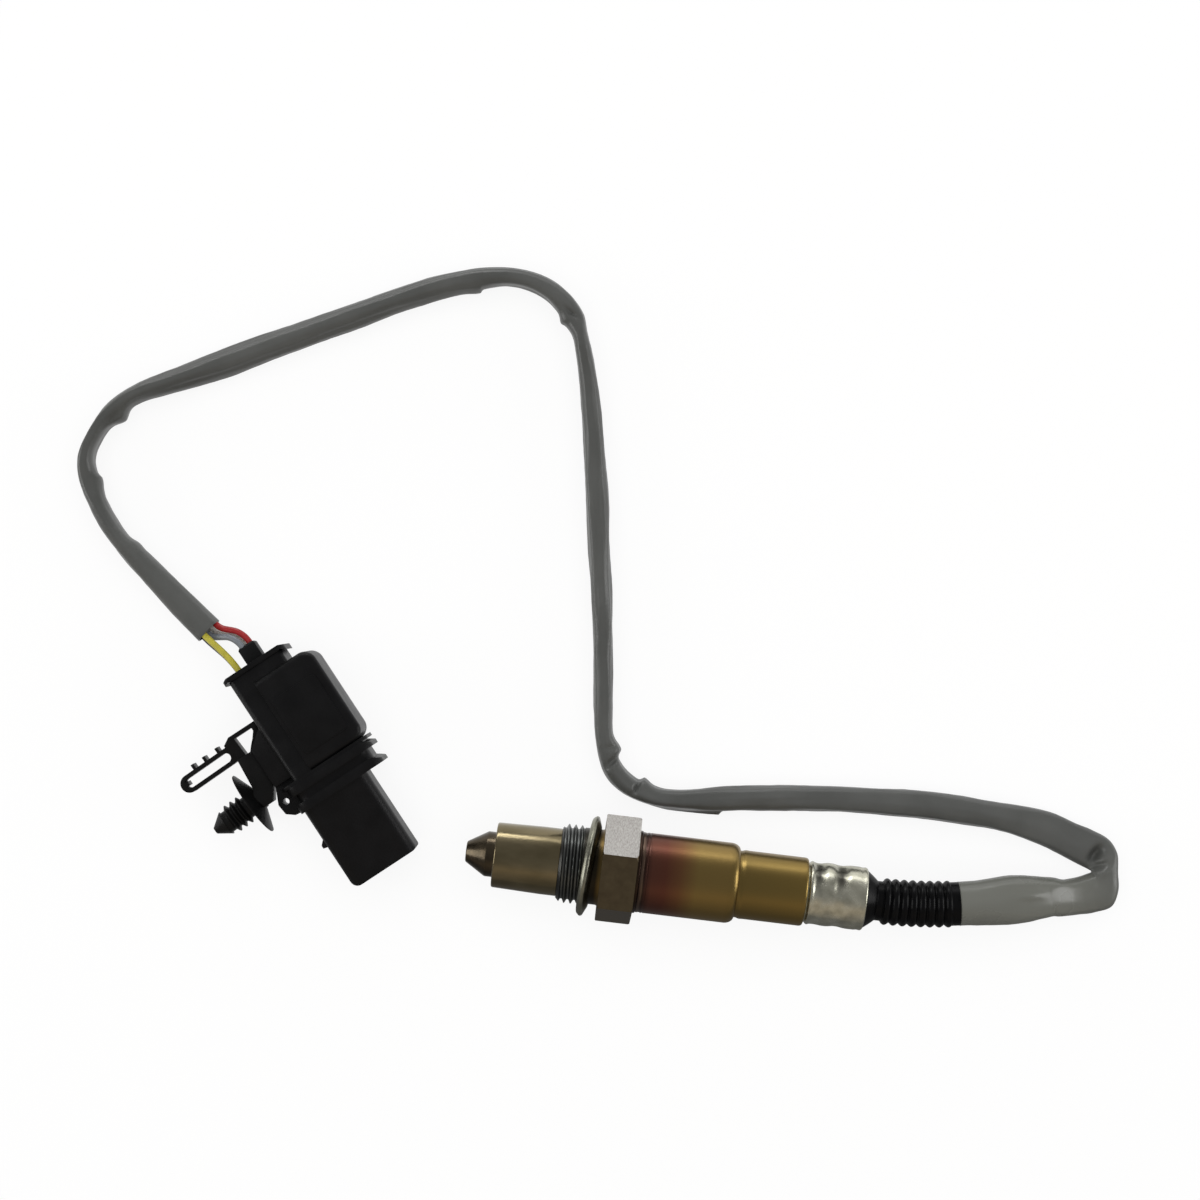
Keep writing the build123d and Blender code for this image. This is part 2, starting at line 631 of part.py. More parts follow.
def tray_room(start, end, shrink=0.0):
    """Inside of the rear tray."""
    width, middle = across(TRAY_LEFT + TRAY_WALL, TRAY_RIGHT - TRAY_WALL)
    return bar(start, end, width - 2 * shrink, TRAY_HEIGHT - 2 * TRAY_WALL - 2 * shrink, y=middle)


def connector_housing():
    """Moulded body: plug shroud, two ribs with a groove between, shoulder, rear tray, clip rail and lug."""
    body = bar(0, PLUG_LENGTH, PLUG_WIDTH, PLUG_HEIGHT, y=-PLUG_WIDTH / 2, corner=PLUG_CORNER)
    above = make_face(Polyline(
        (0, 0), (PLUG_LENGTH, 0), (PLUG_LENGTH, -PLUG_WIDTH), (0, -PLUG_WIDTH), close=True
    ))
    for y, radius in ((0, PLUG_END_RIGHT), (-PLUG_WIDTH, PLUG_END_LEFT)):
        above = fillet(above.vertices().sort_by_distance((PLUG_LENGTH, y))[0], radius)
    body &= extrude(above, PLUG_HEIGHT, both=True)
    width, middle = across(RIB_LEFT, RIB_RIGHT)
    for start, end in RIB_PLANES:
        rib = bar(start, end, width, 2 * BODY_HALF_HEIGHT, y=middle, corner=RIB_CORNER)
        body += rib & plate([
            (start, RIB_LEFT), (start, RIB_RIGHT - RIB_TAPER), (end - RIB_TIP, RIB_RIGHT),
            (end, RIB_RIGHT), (end, RIB_LEFT),
        ], 2 * BODY_HALF_HEIGHT)
    width, middle = across(GROOVE_LEFT, GROOVE_RIGHT)
    body += bar(RIB_PLANES[1][0], 0, width, GROOVE_HEIGHT, y=middle, corner=RIB_CORNER)
    width, middle = across(SHOULDER_LEFT, SHOULDER_RIGHT)
    body += bar(SHOULDER_END, RIB_PLANES[1][0], width, SHOULDER_HEIGHT, y=middle, corner=RIB_CORNER)
    width, middle = across(TRAY_LEFT, TRAY_RIGHT)
    body += bar(TRAY_END, SHOULDER_END, width, TRAY_HEIGHT, y=middle, corner=TRAY_WALL)
    body += plate([
        (-22.4, TRAY_LEFT + 0.5), (-18.4, RAIL_OUT),
        (RAIL_END, RAIL_OUT), (RAIL_END, TRAY_LEFT + 0.5),
    ], RAIL_HEIGHT)
    body += plate([
        (-8.6, TRAY_LEFT), (-8.6, RAIL_OUT), (-4.6, -21.3), (-2.0, -21.0), (-0.6, -19.2), (-0.1, TRAY_LEFT),
    ], LUG_HEIGHT, corner=LUG_CORNER)
    latch = plate([
        (LATCH_X - 1.6, 0.5 - PLUG_WIDTH), (LATCH_X, -PLUG_WIDTH - LATCH_OUT),
        (LATCH_X + 0.8, -PLUG_WIDTH - LATCH_OUT), (LATCH_X + 1.2, 0.5 - PLUG_WIDTH),
    ], PLUG_HEIGHT / 2)
    body += latch
    body -= Pos(*LUG_HOLE, 0) * Cylinder(LUG_HOLE_D / 2, LUG_HEIGHT + 1)
    body -= socket_room(SOCKET_FLOOR, PLUG_LENGTH)
    body -= tray_room(TRAY_END, CHAMBER_FRONT)
    for hole in pin_holes(CHAMBER_FRONT, SOCKET_FLOOR):
        body -= hole
    return CONNECTOR * body


def terminal_cover():
    """Round-edged cover pushed over the tray from its right, with a raised panel on top."""
    width, middle = across(COVER_LEFT, COVER_RIGHT)
    length, centre = across(COVER_END, SHOULDER_END)
    body = Pos(centre, middle, 0) * Box(length, width, 2 * BODY_HALF_HEIGHT)
    right = body.edges().filter_by(Axis.Z).sort_by(Axis.Y)[-2:]
    body = fillet(right, COVER_CORNER)
    top, bottom = body.faces().sort_by(Axis.Z)[-1], body.faces().sort_by(Axis.Z)[0]
    rim = [e for f in (top, bottom) for e in f.edges() if e.center().Y > COVER_LEFT + 0.1]
    rim = [e for e in rim if e.center().X > COVER_END + 0.01 or e.geom_type != GeomType.LINE]
    rim = [e for e in rim if e.center().X < SHOULDER_END - 0.01]
    body = fillet(rim, COVER_EDGE)
    panel_length, panel_x = across(*PANEL_X)
    panel_width, panel_y = across(*PANEL_Y)
    panel = Pos(panel_x, panel_y, BODY_HALF_HEIGHT) * extrude(
        RectangleRounded(panel_length, panel_width, PANEL_CORNER), PANEL_RISE
    )
    body += panel
    tray_width, tray_middle = across(TRAY_LEFT, TRAY_RIGHT)
    gap = 2 * COVER_CLEARANCE
    body -= bar(COVER_END, SHOULDER_END, tray_width + gap, TRAY_HEIGHT + gap, y=tray_middle)
    pocket_width, pocket_y = across(TRAY_RIGHT - 0.5, COVER_RIGHT - COVER_WALL)
    body -= bar(
        COVER_END + COVER_WALL, SHOULDER_END - COVER_WALL, pocket_width, TRAY_HEIGHT - 1, y=pocket_y
    )
    return CONNECTOR * body


def wire_passages(start, end, names):
    """Round holes for the wires that pass one piece."""
    holes = []
    for name in names:
        _, y, z = WIRES[name][1]
        holes.append(Pos(0, y, z) * tube(start, end, WIRE_D / 2 + WIRE_HOLE_CLEARANCE))
    return holes


def rear_cap():
    """Plate that closes the tray around the wires, with a lip down each side that hooks forward."""
    width, middle = across(CAP_LEFT, CAP_RIGHT)
    start, face = TRAY_END - CAP_THICKNESS, TRAY_END
    tip = face + CAP_HOOK
    cap = bar(start, tip, width, CAP_HEIGHT, y=middle, corner=CAP_CORNER) & plate([
        (start, TRAY_LEFT), (face - CAP_HOOK, CAP_LEFT), (tip - CAP_HOOK / 2, CAP_LEFT),
        (face, CAP_LEFT + CAP_LIP), (face - CAP_LIP / 2, TRAY_LEFT), (face, TRAY_LEFT + CAP_LIP),
        (face, TRAY_RIGHT - CAP_LIP), (face - CAP_LIP / 2, TRAY_RIGHT),
        (tip - CAP_HOOK / 2, CAP_RIGHT - CAP_LIP), (tip, CAP_RIGHT), (face - CAP_HOOK, CAP_RIGHT),
        (start, TRAY_RIGHT),
    ], CAP_HEIGHT)
    guide_width, guide_y = across(*GUIDE_Y)
    gap = 2 * COVER_CLEARANCE
    cap -= bar(start, face, guide_width + gap, GUIDE_HEIGHT + gap, y=guide_y)
    for hole in wire_passages(start, face, ("wire_yellow", "wire_black")):
        cap -= hole
    return CONNECTOR * cap


def wire_guide():
    """Small block that gathers three wires behind the cap."""
    width, middle = across(*GUIDE_Y)
    block = bar(GUIDE_END, TRAY_END, width, GUIDE_HEIGHT, y=middle)
    block = chamfer(block.faces().sort_by(Axis.X)[0].edges(), GUIDE_CHAMFER)
    for hole in wire_passages(GUIDE_END, TRAY_END, ("wire_red", "wire_white", "wire_grey")):
        block -= hole
    return CONNECTOR * block


def wire_seal():
    """Soft block that seals all five wires in the tray's rear."""
    end = TRAY_END + SEAL_THICKNESS
    seal = tray_room(TRAY_END, end, shrink=COVER_CLEARANCE)
    for hole in wire_passages(TRAY_END, end, WIRES):
        seal -= hole
    return CONNECTOR * seal


def terminal_pins():
    """Six terminals: crimp barrel, square body at the chamber's front wall, round pin in the socket."""
    pins = []
    for y in PIN_COLUMNS:
        for z in PIN_ROWS:
            barrel = tube(TERMINAL_END, BARREL_END, PIN_BODY / 2)
            body = bar(BARREL_END, CHAMBER_FRONT, PIN_BODY, PIN_BODY)
            pin = tube(CHAMBER_FRONT, PIN_END, PIN_D / 2)
            tip = chamfer(pin.faces().sort_by(Axis.X)[-1].edges(), PIN_CHAMFER)
            pins += (CONNECTOR * Pos(0, y, z) * (barrel + body + tip)).solids()
    return Compound(pins)


def secondary_lock():
    """Insert on the socket's floor that keeps the pins in place."""
    lock = socket_room(SOCKET_FLOOR, SOCKET_FLOOR + LOCK_THICKNESS, shrink=COVER_CLEARANCE)
    for hole in pin_holes(SOCKET_FLOOR, SOCKET_FLOOR + LOCK_THICKNESS):
        lock -= hole
    return CONNECTOR * lock


def interface_seal():
    """Soft frame on the insert that the mating plug presses on."""
    start = SOCKET_FLOOR + LOCK_THICKNESS
    end = start + FACE_SEAL_LENGTH
    outer = socket_room(start, end, shrink=COVER_CLEARANCE)
    return CONNECTOR * (outer - socket_room(start, end, shrink=FACE_SEAL_WIDTH))


def trim_resistor():
    """Small board with one resistor, on the tray's right side under the cover."""
    length, x = across(*BOARD_X)
    board = Pos(x, TRAY_RIGHT + BOARD_THICKNESS / 2, 0) * Box(length, BOARD_THICKNESS, BOARD_HEIGHT)
    length, x = across(*CHIP_X)
    chip_y = TRAY_RIGHT + BOARD_THICKNESS + CHIP_THICKNESS / 2
    return CONNECTOR * (board + Pos(x, chip_y, 0) * Box(length, CHIP_THICKNESS, BOARD_HEIGHT / 2))


def fir_tree():
    """Stem with an umbrella, three barbed fins and a coned head, along X from its root."""
    core, fin, head = STEM_CORE_D / 2, FIN_D / 2, HEAD_D / 2
    rim = UMBRELLA_X + UMBRELLA_RIM
    face_x, face_r = rim + UMBRELLA_FRONT[0], UMBRELLA_FRONT[1]
    points = [
        (0, 0), (0, core), (UMBRELLA_X - UMBRELLA_BACK, core), (UMBRELLA_X, UMBRELLA_D / 2),
        (rim, UMBRELLA_D / 2), (face_x, face_r), (face_x, core),
    ]
    for x in FIN_STATIONS:
        points += [(x - FIN_RISE, core), (x, fin), (x + FIN_TIP, fin), (x + FIN_FALL, core)]
    end = HEAD_START + HEAD_LENGTH
    points += [(HEAD_START, core), (HEAD_START, head), (end, HEAD_TIP_D / 2), (end, 0)]
    return turned(points)


def strap_loop():
    """Long eye for a cable tie, with three teeth on one side, along X from its root."""
    outer = Pos(LOOP_LENGTH / 2, 0) * SlotOverall(LOOP_LENGTH, LOOP_WIDTH)
    inner_length, inner_width = LOOP_LENGTH - 2 * LOOP_BAND - LOOP_ROOT, LOOP_WIDTH - 2 * LOOP_BAND
    outer -= Pos((LOOP_LENGTH + LOOP_ROOT) / 2, 0) * SlotOverall(inner_length, inner_width)
    nib = Pos(LOOP_LENGTH - LOOP_BAND - 0.3, -0.2) * Rectangle(*LOOP_NIB)
    for x in LOOP_TEETH:
        outer += Pos(x, -LOOP_WIDTH / 2 - 0.3 * LOOP_TOOTH[1]) * Rectangle(*LOOP_TOOTH)
    return extrude(outer + nib, ARM_HEIGHT / 2, both=True)


def mounting_clip():
    """Moulded clip on the connector's left rail: base, window frame, strap loop and fir-tree stem."""
    seat = RAIL_OUT - CLIP_GAP
    base = plate([
        (-18.4, seat), (-9.7, seat), (-6.0, seat - 2.4), (-6.0, seat - 4.5), (-9.2, seat - 5.4),
        (-10.9, seat - 4.5), (-18.4, seat - 3.9),
    ], CLIP_HEIGHT)
    clip = base + plate([
        (-23.9, TRAY_LEFT - CLIP_GAP), (-22.9, TRAY_LEFT - CLIP_GAP), (-22.9, -21.6), (-18.3, -21.3),
        (-18.3, -24.4), (-22.8, -24.4), (-23.9, -22.6),
    ], ARM_HEIGHT)
    clip += plate([
        (-23.0, TRAY_LEFT - CLIP_GAP), (-23.0, -16.9), (-22.1, -16.9), (-20.7, -18.0), (-19.6, -19.1),
        (-18.3, -20.2), (-18.3, seat), (-18.5, seat), (-22.05, TRAY_LEFT - CLIP_GAP),
    ], ARM_HEIGHT)
    clip += Location((*LOOP_START, 0), (0, 0, LOOP_TURN)) * strap_loop()
    clip += Location((*STEM_ROOT, 0), (0, 0, STEM_TURN)) * fir_tree()
    return CONNECTOR * clip


NODES = {
    "housing": housing,
    "sealing_ring": sealing_ring,
    "outer_protection_tube": outer_protection_tube,
    "inner_protection_tube": inner_protection_tube,
    "sensing_element": sensing_element,
    "front_ceramic": front_ceramic,
    "talc_seal": talc_seal,
    "rear_ceramic": rear_ceramic,
    "shield_tube": shield_tube,
    "contact_holder_upper": lambda: holder_half(1),
    "contact_holder_lower": lambda: holder_half(-1),
    "holder_spring": holder_spring,
    "contact_springs": contact_springs,
    "crimp_sleeve": crimp_sleeve,
    "wire_grommet": wire_grommet,
    "corrugated_boot": corrugated_boot,
    "sensor_leads": sensor_leads,
    "cable_sleeve": cable_sleeve,
    "connector_housing": connector_housing,
    "terminal_cover": terminal_cover,
    "rear_cap": rear_cap,
    "wire_guide": wire_guide,
    "wire_seal": wire_seal,
    "terminal_pins": terminal_pins,
    "secondary_lock": secondary_lock,
    "interface_seal": interface_seal,
    "trim_resistor": trim_resistor,
    "mounting_clip": mounting_clip,
}
for wire_name in WIRES:
    NODES[wire_name] = lambda name=wire_name: wire(name)

os.makedirs("parts", exist_ok=True)
for node, make in NODES.items():
    export_step(make(), "parts/" + node + ".step")
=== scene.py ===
from math import atan2, cos, exp, pi, radians, sin

import bmesh
import bpy
from mathutils import Matrix, Vector, noise


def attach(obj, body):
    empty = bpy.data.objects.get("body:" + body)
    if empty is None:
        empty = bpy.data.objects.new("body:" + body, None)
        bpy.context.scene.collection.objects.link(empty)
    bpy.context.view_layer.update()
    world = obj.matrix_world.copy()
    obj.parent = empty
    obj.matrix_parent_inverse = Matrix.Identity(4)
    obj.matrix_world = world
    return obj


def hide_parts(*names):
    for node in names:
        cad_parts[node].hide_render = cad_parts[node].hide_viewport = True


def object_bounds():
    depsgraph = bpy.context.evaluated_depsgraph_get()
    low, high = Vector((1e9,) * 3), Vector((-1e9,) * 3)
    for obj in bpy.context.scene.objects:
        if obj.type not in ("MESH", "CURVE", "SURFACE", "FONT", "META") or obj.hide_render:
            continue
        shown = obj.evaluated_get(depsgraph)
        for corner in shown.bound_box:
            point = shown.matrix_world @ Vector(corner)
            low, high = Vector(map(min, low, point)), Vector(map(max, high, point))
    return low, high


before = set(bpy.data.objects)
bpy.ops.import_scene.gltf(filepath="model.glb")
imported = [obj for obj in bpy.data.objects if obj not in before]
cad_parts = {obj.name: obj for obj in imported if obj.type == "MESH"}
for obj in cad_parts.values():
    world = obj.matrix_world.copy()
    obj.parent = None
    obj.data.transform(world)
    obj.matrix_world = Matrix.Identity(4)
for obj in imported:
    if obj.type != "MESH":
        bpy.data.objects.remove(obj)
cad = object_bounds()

# ---- bench, light and camera -----------------------------------------------------------------
# A plain white bench under a broad soft overhead light. A low softbox and a weaker reflector
# stand beyond the cable's loop, and a wide softbox at each end. The camera looks straight down.
BENCH_Z = cad[0].z
BENCH_HALF = 4.0
BENCH_WHITE = (0.93, 0.93, 0.93, 1)
BENCH_GLOW = 0.88                          # share of the white that it shows of itself
# painted shade: in reflections the bench's glow dims towards its near side, where the cable's shadow falls
NEAR_EDGE, FAR_EDGE = -0.014, 0.012        # its reflection brightens between these, in metres
NEAR_SHINE, FAR_SHINE = 0.14, 0.88
UPWARD = Vector((-0.1196, 0.9928, 0))      # along the bench, away from the near side
SIDEWAYS = Vector((UPWARD.y, -UPWARD.x, 0))
ROOM_TONES = [
    (0.0, (0.20, 0.19, 0.18, 1)), (0.15, (0.40, 0.35, 0.29, 1)), (0.32, (0.28, 0.27, 0.26, 1)),
    (0.5, (0.25, 0.25, 0.25, 1)), (0.9, (0.26, 0.26, 0.26, 1)), (1.0, (0.55, 0.55, 0.55, 1)),
]
MIDDLE = Vector((-0.0075, 0.0606, 0))
LIGHT_REACH = 0.9
# name, way from the middle, degrees above the bench, shift to the side, size (m), watts
LAMPS = [
    ("far_softbox", UPWARD, 7.5, -0.29, (0.62, 0.20), 2.1),
    ("far_reflector", UPWARD, 7.5, 0.42, (0.80, 0.20), 0.7),
    ("left_softbox", -SIDEWAYS, 15, 0, (0.5, 0.38), 2.1),
    ("right_softbox", SIDEWAYS, 15, 0, (0.5, 0.38), 2.1),
    ("overhead_softbox", UPWARD, 82, 0, (1.4, 1.4), 9.0),
]
CAMERA_PLACE = (-0.00753, 0.06058, 0.600)
CAMERA_TURN = 6.87
LENS = 78.84


def maths_node(tree, operation, *given):
    """Output of a maths node that is fed by sockets or plain numbers."""
    node = tree.nodes.new("ShaderNodeMath")
    node.operation = operation
    for socket, value in zip(node.inputs, given):
        if isinstance(value, float):
            socket.default_value = value
        else:
            tree.links.new(value, socket)
    return node.outputs[0]


def range_node(tree, value, source, result):
    """Output of a node that carries a value from one range over to another."""
    node = tree.nodes.new("ShaderNodeMapRange")
    node.inputs["From Min"].default_value, node.inputs["From Max"].default_value = source
    node.inputs["To Min"].default_value, node.inputs["To Max"].default_value = result
    tree.links.new(value, node.inputs["Value"])
    return node.outputs[0]


def tone_node(tree, value, stops):
    """Colour output of a ramp with (position, linear colour) stops."""
    node = tree.nodes.new("ShaderNodeValToRGB")
    ramp = node.color_ramp
    for index, (spot, tone) in enumerate(stops):
        stop = ramp.elements[index] if index < 2 else ramp.elements.new(spot)
        stop.position = spot
        stop.color = tone
    tree.links.new(value, node.inputs[0])
    return node.outputs["Color"]


def bench_distance(tree, place):
    """How far a point or a direction lies along the bench, away from its near side."""
    node = tree.nodes.new("ShaderNodeVectorMath")
    node.operation = "DOT_PRODUCT"
    node.inputs[1].default_value = UPWARD
    tree.links.new(place, node.inputs[0])
    return node.outputs["Value"]


bench_mesh = bpy.data.meshes.new("bench")
bench_mesh.from_pydata([
    (x * BENCH_HALF, y * BENCH_HALF, BENCH_Z) for x, y in ((-1, -1), (1, -1), (1, 1), (-1, 1))
], [], [(0, 1, 2, 3)])
bench = bpy.data.objects.new("bench", bench_mesh)
bpy.context.collection.objects.link(bench)

white_board = bpy.data.materials.new("white_board")
white_board.use_nodes = True
tree = white_board.node_tree
tree.nodes.remove(tree.nodes["Principled BSDF"])
matt = tree.nodes.new("ShaderNodeBsdfDiffuse")
matt.inputs["Color"].default_value = BENCH_WHITE
glow = tree.nodes.new("ShaderNodeEmission")
blend = tree.nodes.new("ShaderNodeMixShader")
place = tree.nodes.new("ShaderNodeNewGeometry")
rays = tree.nodes.new("ShaderNodeLightPath").outputs
plain = maths_node(tree, "MULTIPLY", rays["Is Camera Ray"], BENCH_GLOW)
mirrored = maths_node(tree, "MAXIMUM", rays["Is Glossy Ray"], rays["Is Transmission Ray"])
outward = bench_distance(tree, place.outputs["Position"])
# painted shade: the glow that reflections see fades from the far side of the bench to the near side
shade = range_node(tree, outward, (NEAR_EDGE, FAR_EDGE), (NEAR_SHINE, FAR_SHINE))
tree.links.new(maths_node(tree, "MAXIMUM", shade, rays["Is Camera Ray"]), glow.inputs["Strength"])
tree.links.new(maths_node(tree, "MAXIMUM", plain, mirrored), blend.inputs[0])
tree.links.new(matt.outputs[0], blend.inputs[1])
tree.links.new(glow.outputs[0], blend.inputs[2])
tree.links.new(blend.outputs[0], tree.nodes["Material Output"].inputs["Surface"])
bench_mesh.materials.append(white_board)

room = bpy.data.worlds.new("room")
bpy.context.scene.world = room
room.use_nodes = True
tree = room.node_tree
place = tree.nodes.new("ShaderNodeTexCoord")
rays = tree.nodes.new("ShaderNodeLightPath").outputs
pick = tree.nodes.new("ShaderNodeMix")
pick.data_type = "RGBA"
pick.inputs["B"].default_value = (1, 1, 1, 1)
outward = bench_distance(tree, place.outputs["Generated"])
fade = tone_node(tree, range_node(tree, outward, (-1, 1), (0, 1)), ROOM_TONES)
tree.links.new(fade, pick.inputs["A"])
tree.links.new(rays["Is Camera Ray"], pick.inputs["Factor"])
tree.links.new(pick.outputs["Result"], tree.nodes["Background"].inputs["Color"])

for name, way, rise, aside, size, watts in LAMPS:
    lamp = bpy.data.lights.new(name, "AREA")
    lamp.shape = "RECTANGLE"
    lamp.size, lamp.size_y = size
    lamp.energy = watts
    softbox = bpy.data.objects.new(name, lamp)
    reach = way * cos(radians(rise)) + Vector((0, 0, sin(radians(rise))))
    softbox.location = MIDDLE + reach * LIGHT_REACH
    softbox.rotation_euler = (MIDDLE - softbox.location).to_track_quat("-Z", "Y").to_euler()
    softbox.location += SIDEWAYS * aside
    softbox.visible_glossy = name != "overhead_softbox"
    bpy.context.collection.objects.link(softbox)

lens = bpy.data.cameras.new("overhead_camera")
lens.sensor_width = 36
lens.lens = LENS
camera = bpy.data.objects.new("overhead_camera", lens)
camera.location = CAMERA_PLACE
camera.rotation_euler = (0, 0, radians(CAMERA_TURN))
bpy.context.collection.objects.link(camera)
bpy.context.scene.camera = camera
bpy.context.scene.view_settings.view_transform = "Standard"

# ---- steel housing ---------------------------------------------------------------------------
# One turned and bored steel body: spigot for the tubes, rolled M18 x 1.5 thread, relief groove,
# collar, and a rear spigot whose lip is folded in over the ceramic. Dark from heat, with painted
# shade on the relief groove behind the sealing ring.
MM = 0.001
SIDES = 128                # flats that a turned piece is drawn with
GRAIN_HEIGHT = 0.0001


def paint(red, green, blue):
    """Linear colour from the 0-255 numbers of a colour chart."""
    channels = [c / 255 for c in (red, green, blue)]
    return tuple(c / 12.92 if c < 0.04045 else ((c + 0.055) / 1.055) ** 2.4 for c in channels) + (1,)


def finish(
    name, dark, light, rough, metallic=0.0, scale=400.0, stretch=(1, 1, 1), bump=0.1, grain=2500.0,
    specular=0.5
):
    """Material that wanders between two tones, with roughness and fine grain to match."""
    material = bpy.data.materials.new(name)
    material.use_nodes = True
    tree = material.node_tree
    shader = tree.nodes["Principled BSDF"]
    shader.inputs["Metallic"].default_value = metallic
    shader.inputs["Specular IOR Level"].default_value = specular
    place = tree.nodes.new("ShaderNodeTexCoord")
    mapping = tree.nodes.new("ShaderNodeMapping")
    mapping.inputs["Scale"].default_value = stretch
    tree.links.new(place.outputs["Object"], mapping.inputs["Vector"])
    cloud = tree.nodes.new("ShaderNodeTexNoise")
    cloud.name = "cloud"
    cloud.inputs["Scale"].default_value = scale
    cloud.inputs["Detail"].default_value = 5
    tree.links.new(mapping.outputs[0], cloud.inputs["Vector"])
    tones = tone_node(tree, cloud.outputs[0], [(0.3, paint(*dark)), (0.7, paint(*light))])
    tree.links.new(tones, shader.inputs["Base Color"])
    tree.links.new(range_node(tree, cloud.outputs[0], (0, 1), rough), shader.inputs["Roughness"])
    fine = tree.nodes.new("ShaderNodeTexNoise")
    fine.inputs["Scale"].default_value = grain
    fine.inputs["Detail"].default_value = 3
    tree.links.new(mapping.outputs[0], fine.inputs["Vector"])
    relief = tree.nodes.new("ShaderNodeBump")
    relief.inputs["Strength"].default_value = bump
    relief.inputs["Distance"].default_value = GRAIN_HEIGHT
    tree.links.new(fine.outputs[0], relief.inputs["Height"])
    tree.links.new(relief.outputs[0], shader.inputs["Normal"])
    return material


def toned_along(material, stops, sway=0.0):
    """Drives a finish's colour along the sensor's axis from (x in mm, tone) stops."""
    tree = material.node_tree
    first, last = stops[0][0], stops[-1][0]
    place = tree.nodes.new("ShaderNodeTexCoord")
    parts = tree.nodes.new("ShaderNodeSeparateXYZ")
    tree.links.new(place.outputs["Object"], parts.inputs[0])
    along = range_node(tree, parts.outputs["X"], (first * MM, last * MM), (0, 1))
    wander = maths_node(tree, "MULTIPLY_ADD", tree.nodes["cloud"].outputs[0], sway, along)
    spots = [((x - first) / (last - first), paint(*tone)) for x, tone in stops]
    tints = tone_node(tree, wander, spots)
    tree.links.new(tints, tree.nodes["Principled BSDF"].inputs["Base Color"])


def tinted_where(material, attribute, tone):
    """Mixes a tone into a finish wherever a mesh attribute of that name says, 0 to 1."""
    tree = material.node_tree
    base = tree.nodes["Principled BSDF"].inputs["Base Color"]
    share = tree.nodes.new("ShaderNodeAttribute")
    share.name = attribute
    share.attribute_name = attribute
    tint = tree.nodes.new("ShaderNodeMix")
    tint.name = "tint"
    tint.data_type = "RGBA"
    tint.inputs["B"].default_value = paint(*tone)
    tree.links.new(share.outputs["Fac"], tint.inputs["Factor"])
    tree.links.new(base.links[0].from_socket, tint.inputs["A"])
    tree.links.new(tint.outputs["Result"], base)


def bare_object(name, corners, faces):
    """Object from corners in metres, its faces all turned outwards, with no finish yet."""
    mesh = bpy.data.meshes.new(name)
    mesh.from_pydata(corners, [], faces)
    work = bmesh.new()
    work.from_mesh(mesh)
    bmesh.ops.recalc_face_normals(work, faces=work.faces)
    work.to_mesh(mesh)
    work.free()
    made = bpy.data.objects.new(name, mesh)
    bpy.context.collection.objects.link(made)
    return made


def shaded(mesh, edge):
    """Smooth shading up to the angle of a real edge, in degrees."""
    mesh.shade_smooth()
    mesh.set_sharp_from_angle(angle=radians(edge))


def make_piece(name, corners, faces, material, slot, edge=35):
    """Finished piece of the model from corners in metres."""
    piece = bare_object(name, corners, faces)
    shaded(piece.data, edge)
    piece.data.materials.append(material)
    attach(piece, "root")
    return piece


def skin(rows, count, closed=True):
    """Faces between neighbouring rows of corners, each row a ring of so many corners."""
    faces = []
    for i in range(rows if closed else rows - 1):
        j = (i + 1) % rows
        for k in range(count):
            m = (k + 1) % count
            faces.append((i * count + k, i * count + m, j * count + m, j * count + k))
    return faces


def turn_outline(outline, place=Matrix.Identity(4), sides=SIDES):
    """Corners and faces of a closed (x, radius) outline in mm, turned about the sensor's axis."""
    corners = []
    for i in range(sides):
        angle = 2 * pi * i / sides
        for x, r in outline:
            r = r(angle) if callable(r) else r
            corners.append(place @ Vector((x * MM, r * cos(angle) * MM, r * sin(angle) * MM)))
    return corners, skin(sides, len(outline))


def within(value):
    """The value, held between 0 and 1."""
    return min(max(value, 0), 1)


THREAD_R, ROOT_R, NECK_R, PITCH = 9.0, 8.1, 8.6, 1.5
THREAD_FRONT, THREAD_REAR, THREAD_STEPS = -9.6, -4.4, 104
CREST, FLANK = 0.14, 0.6   # shares of half a pitch: the flat crest, then its sloping flank
RUNOUT, LEAD_DROP = 0.6, 0.1


def thread_radius(x, angle):
    """Radius of the M18 thread's flank, with its lead-in chamfer and run-out."""
    phase = (x / PITCH - angle / (2 * pi)) % 1
    away = abs(phase - 0.5) * 2
    r = THREAD_R - (THREAD_R - ROOT_R) * within((away - CREST) / FLANK)
    r = min(r, ROOT_R - LEAD_DROP + (x - THREAD_FRONT))
    return r + (NECK_R - r) * within((x - THREAD_REAR + RUNOUT) / RUNOUT)


dark_steel = finish(
    "dark_steel", (78, 76, 74), (112, 108, 102), (0.28, 0.42), metallic=1.0, scale=300, bump=0.25
)
# the dark stops from -4.3 to -1.1 mm are painted shade in the relief groove behind the ring; the gold
# beyond is heat tint
toned_along(dark_steel, [
    (-14.0, (104, 102, 96)), (-9.9, (66, 66, 64)), (-9.2, (70, 70, 68)), (-8.7, (106, 108, 106)),
    (-5.0, (106, 108, 106)), (-4.3, (62, 60, 54)), (-1.1, (54, 48, 38)), (-0.7, (84, 70, 44)),
    (-0.2, (108, 90, 54)), (0.3, (110, 98, 78)), (7.6, (84, 70, 58)), (8.8, (62, 46, 40)),
    (14.0, (120, 110, 96)),
])
body_outline = [(-13.0, 3.9), (-13.0, 7.15), (-9.6, 7.15), (-9.6, 7.9)]
for step in range(THREAD_STEPS + 1):
    x = THREAD_FRONT + (THREAD_REAR - THREAD_FRONT) * step / THREAD_STEPS
    body_outline.append((x, lambda angle, x=x: thread_radius(x, angle)))
body_outline += [
    (-0.4, 8.6), (-0.1, 8.75), (0.1, 8.8), (7.5, 8.8), (7.5, 9.3), (7.9, 9.4), (8.6, 9.4), (8.7, 9.3),
    (8.7, 8.6), (13.5, 8.6), (13.5, 4.6), (12.1, 4.6), (12.1, 6.0), (-5.0, 6.0), (-6.5, 3.9),
]
housing_body = make_piece("housing_body", *turn_outline(body_outline), dark_steel, "housing_steel")
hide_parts("housing")
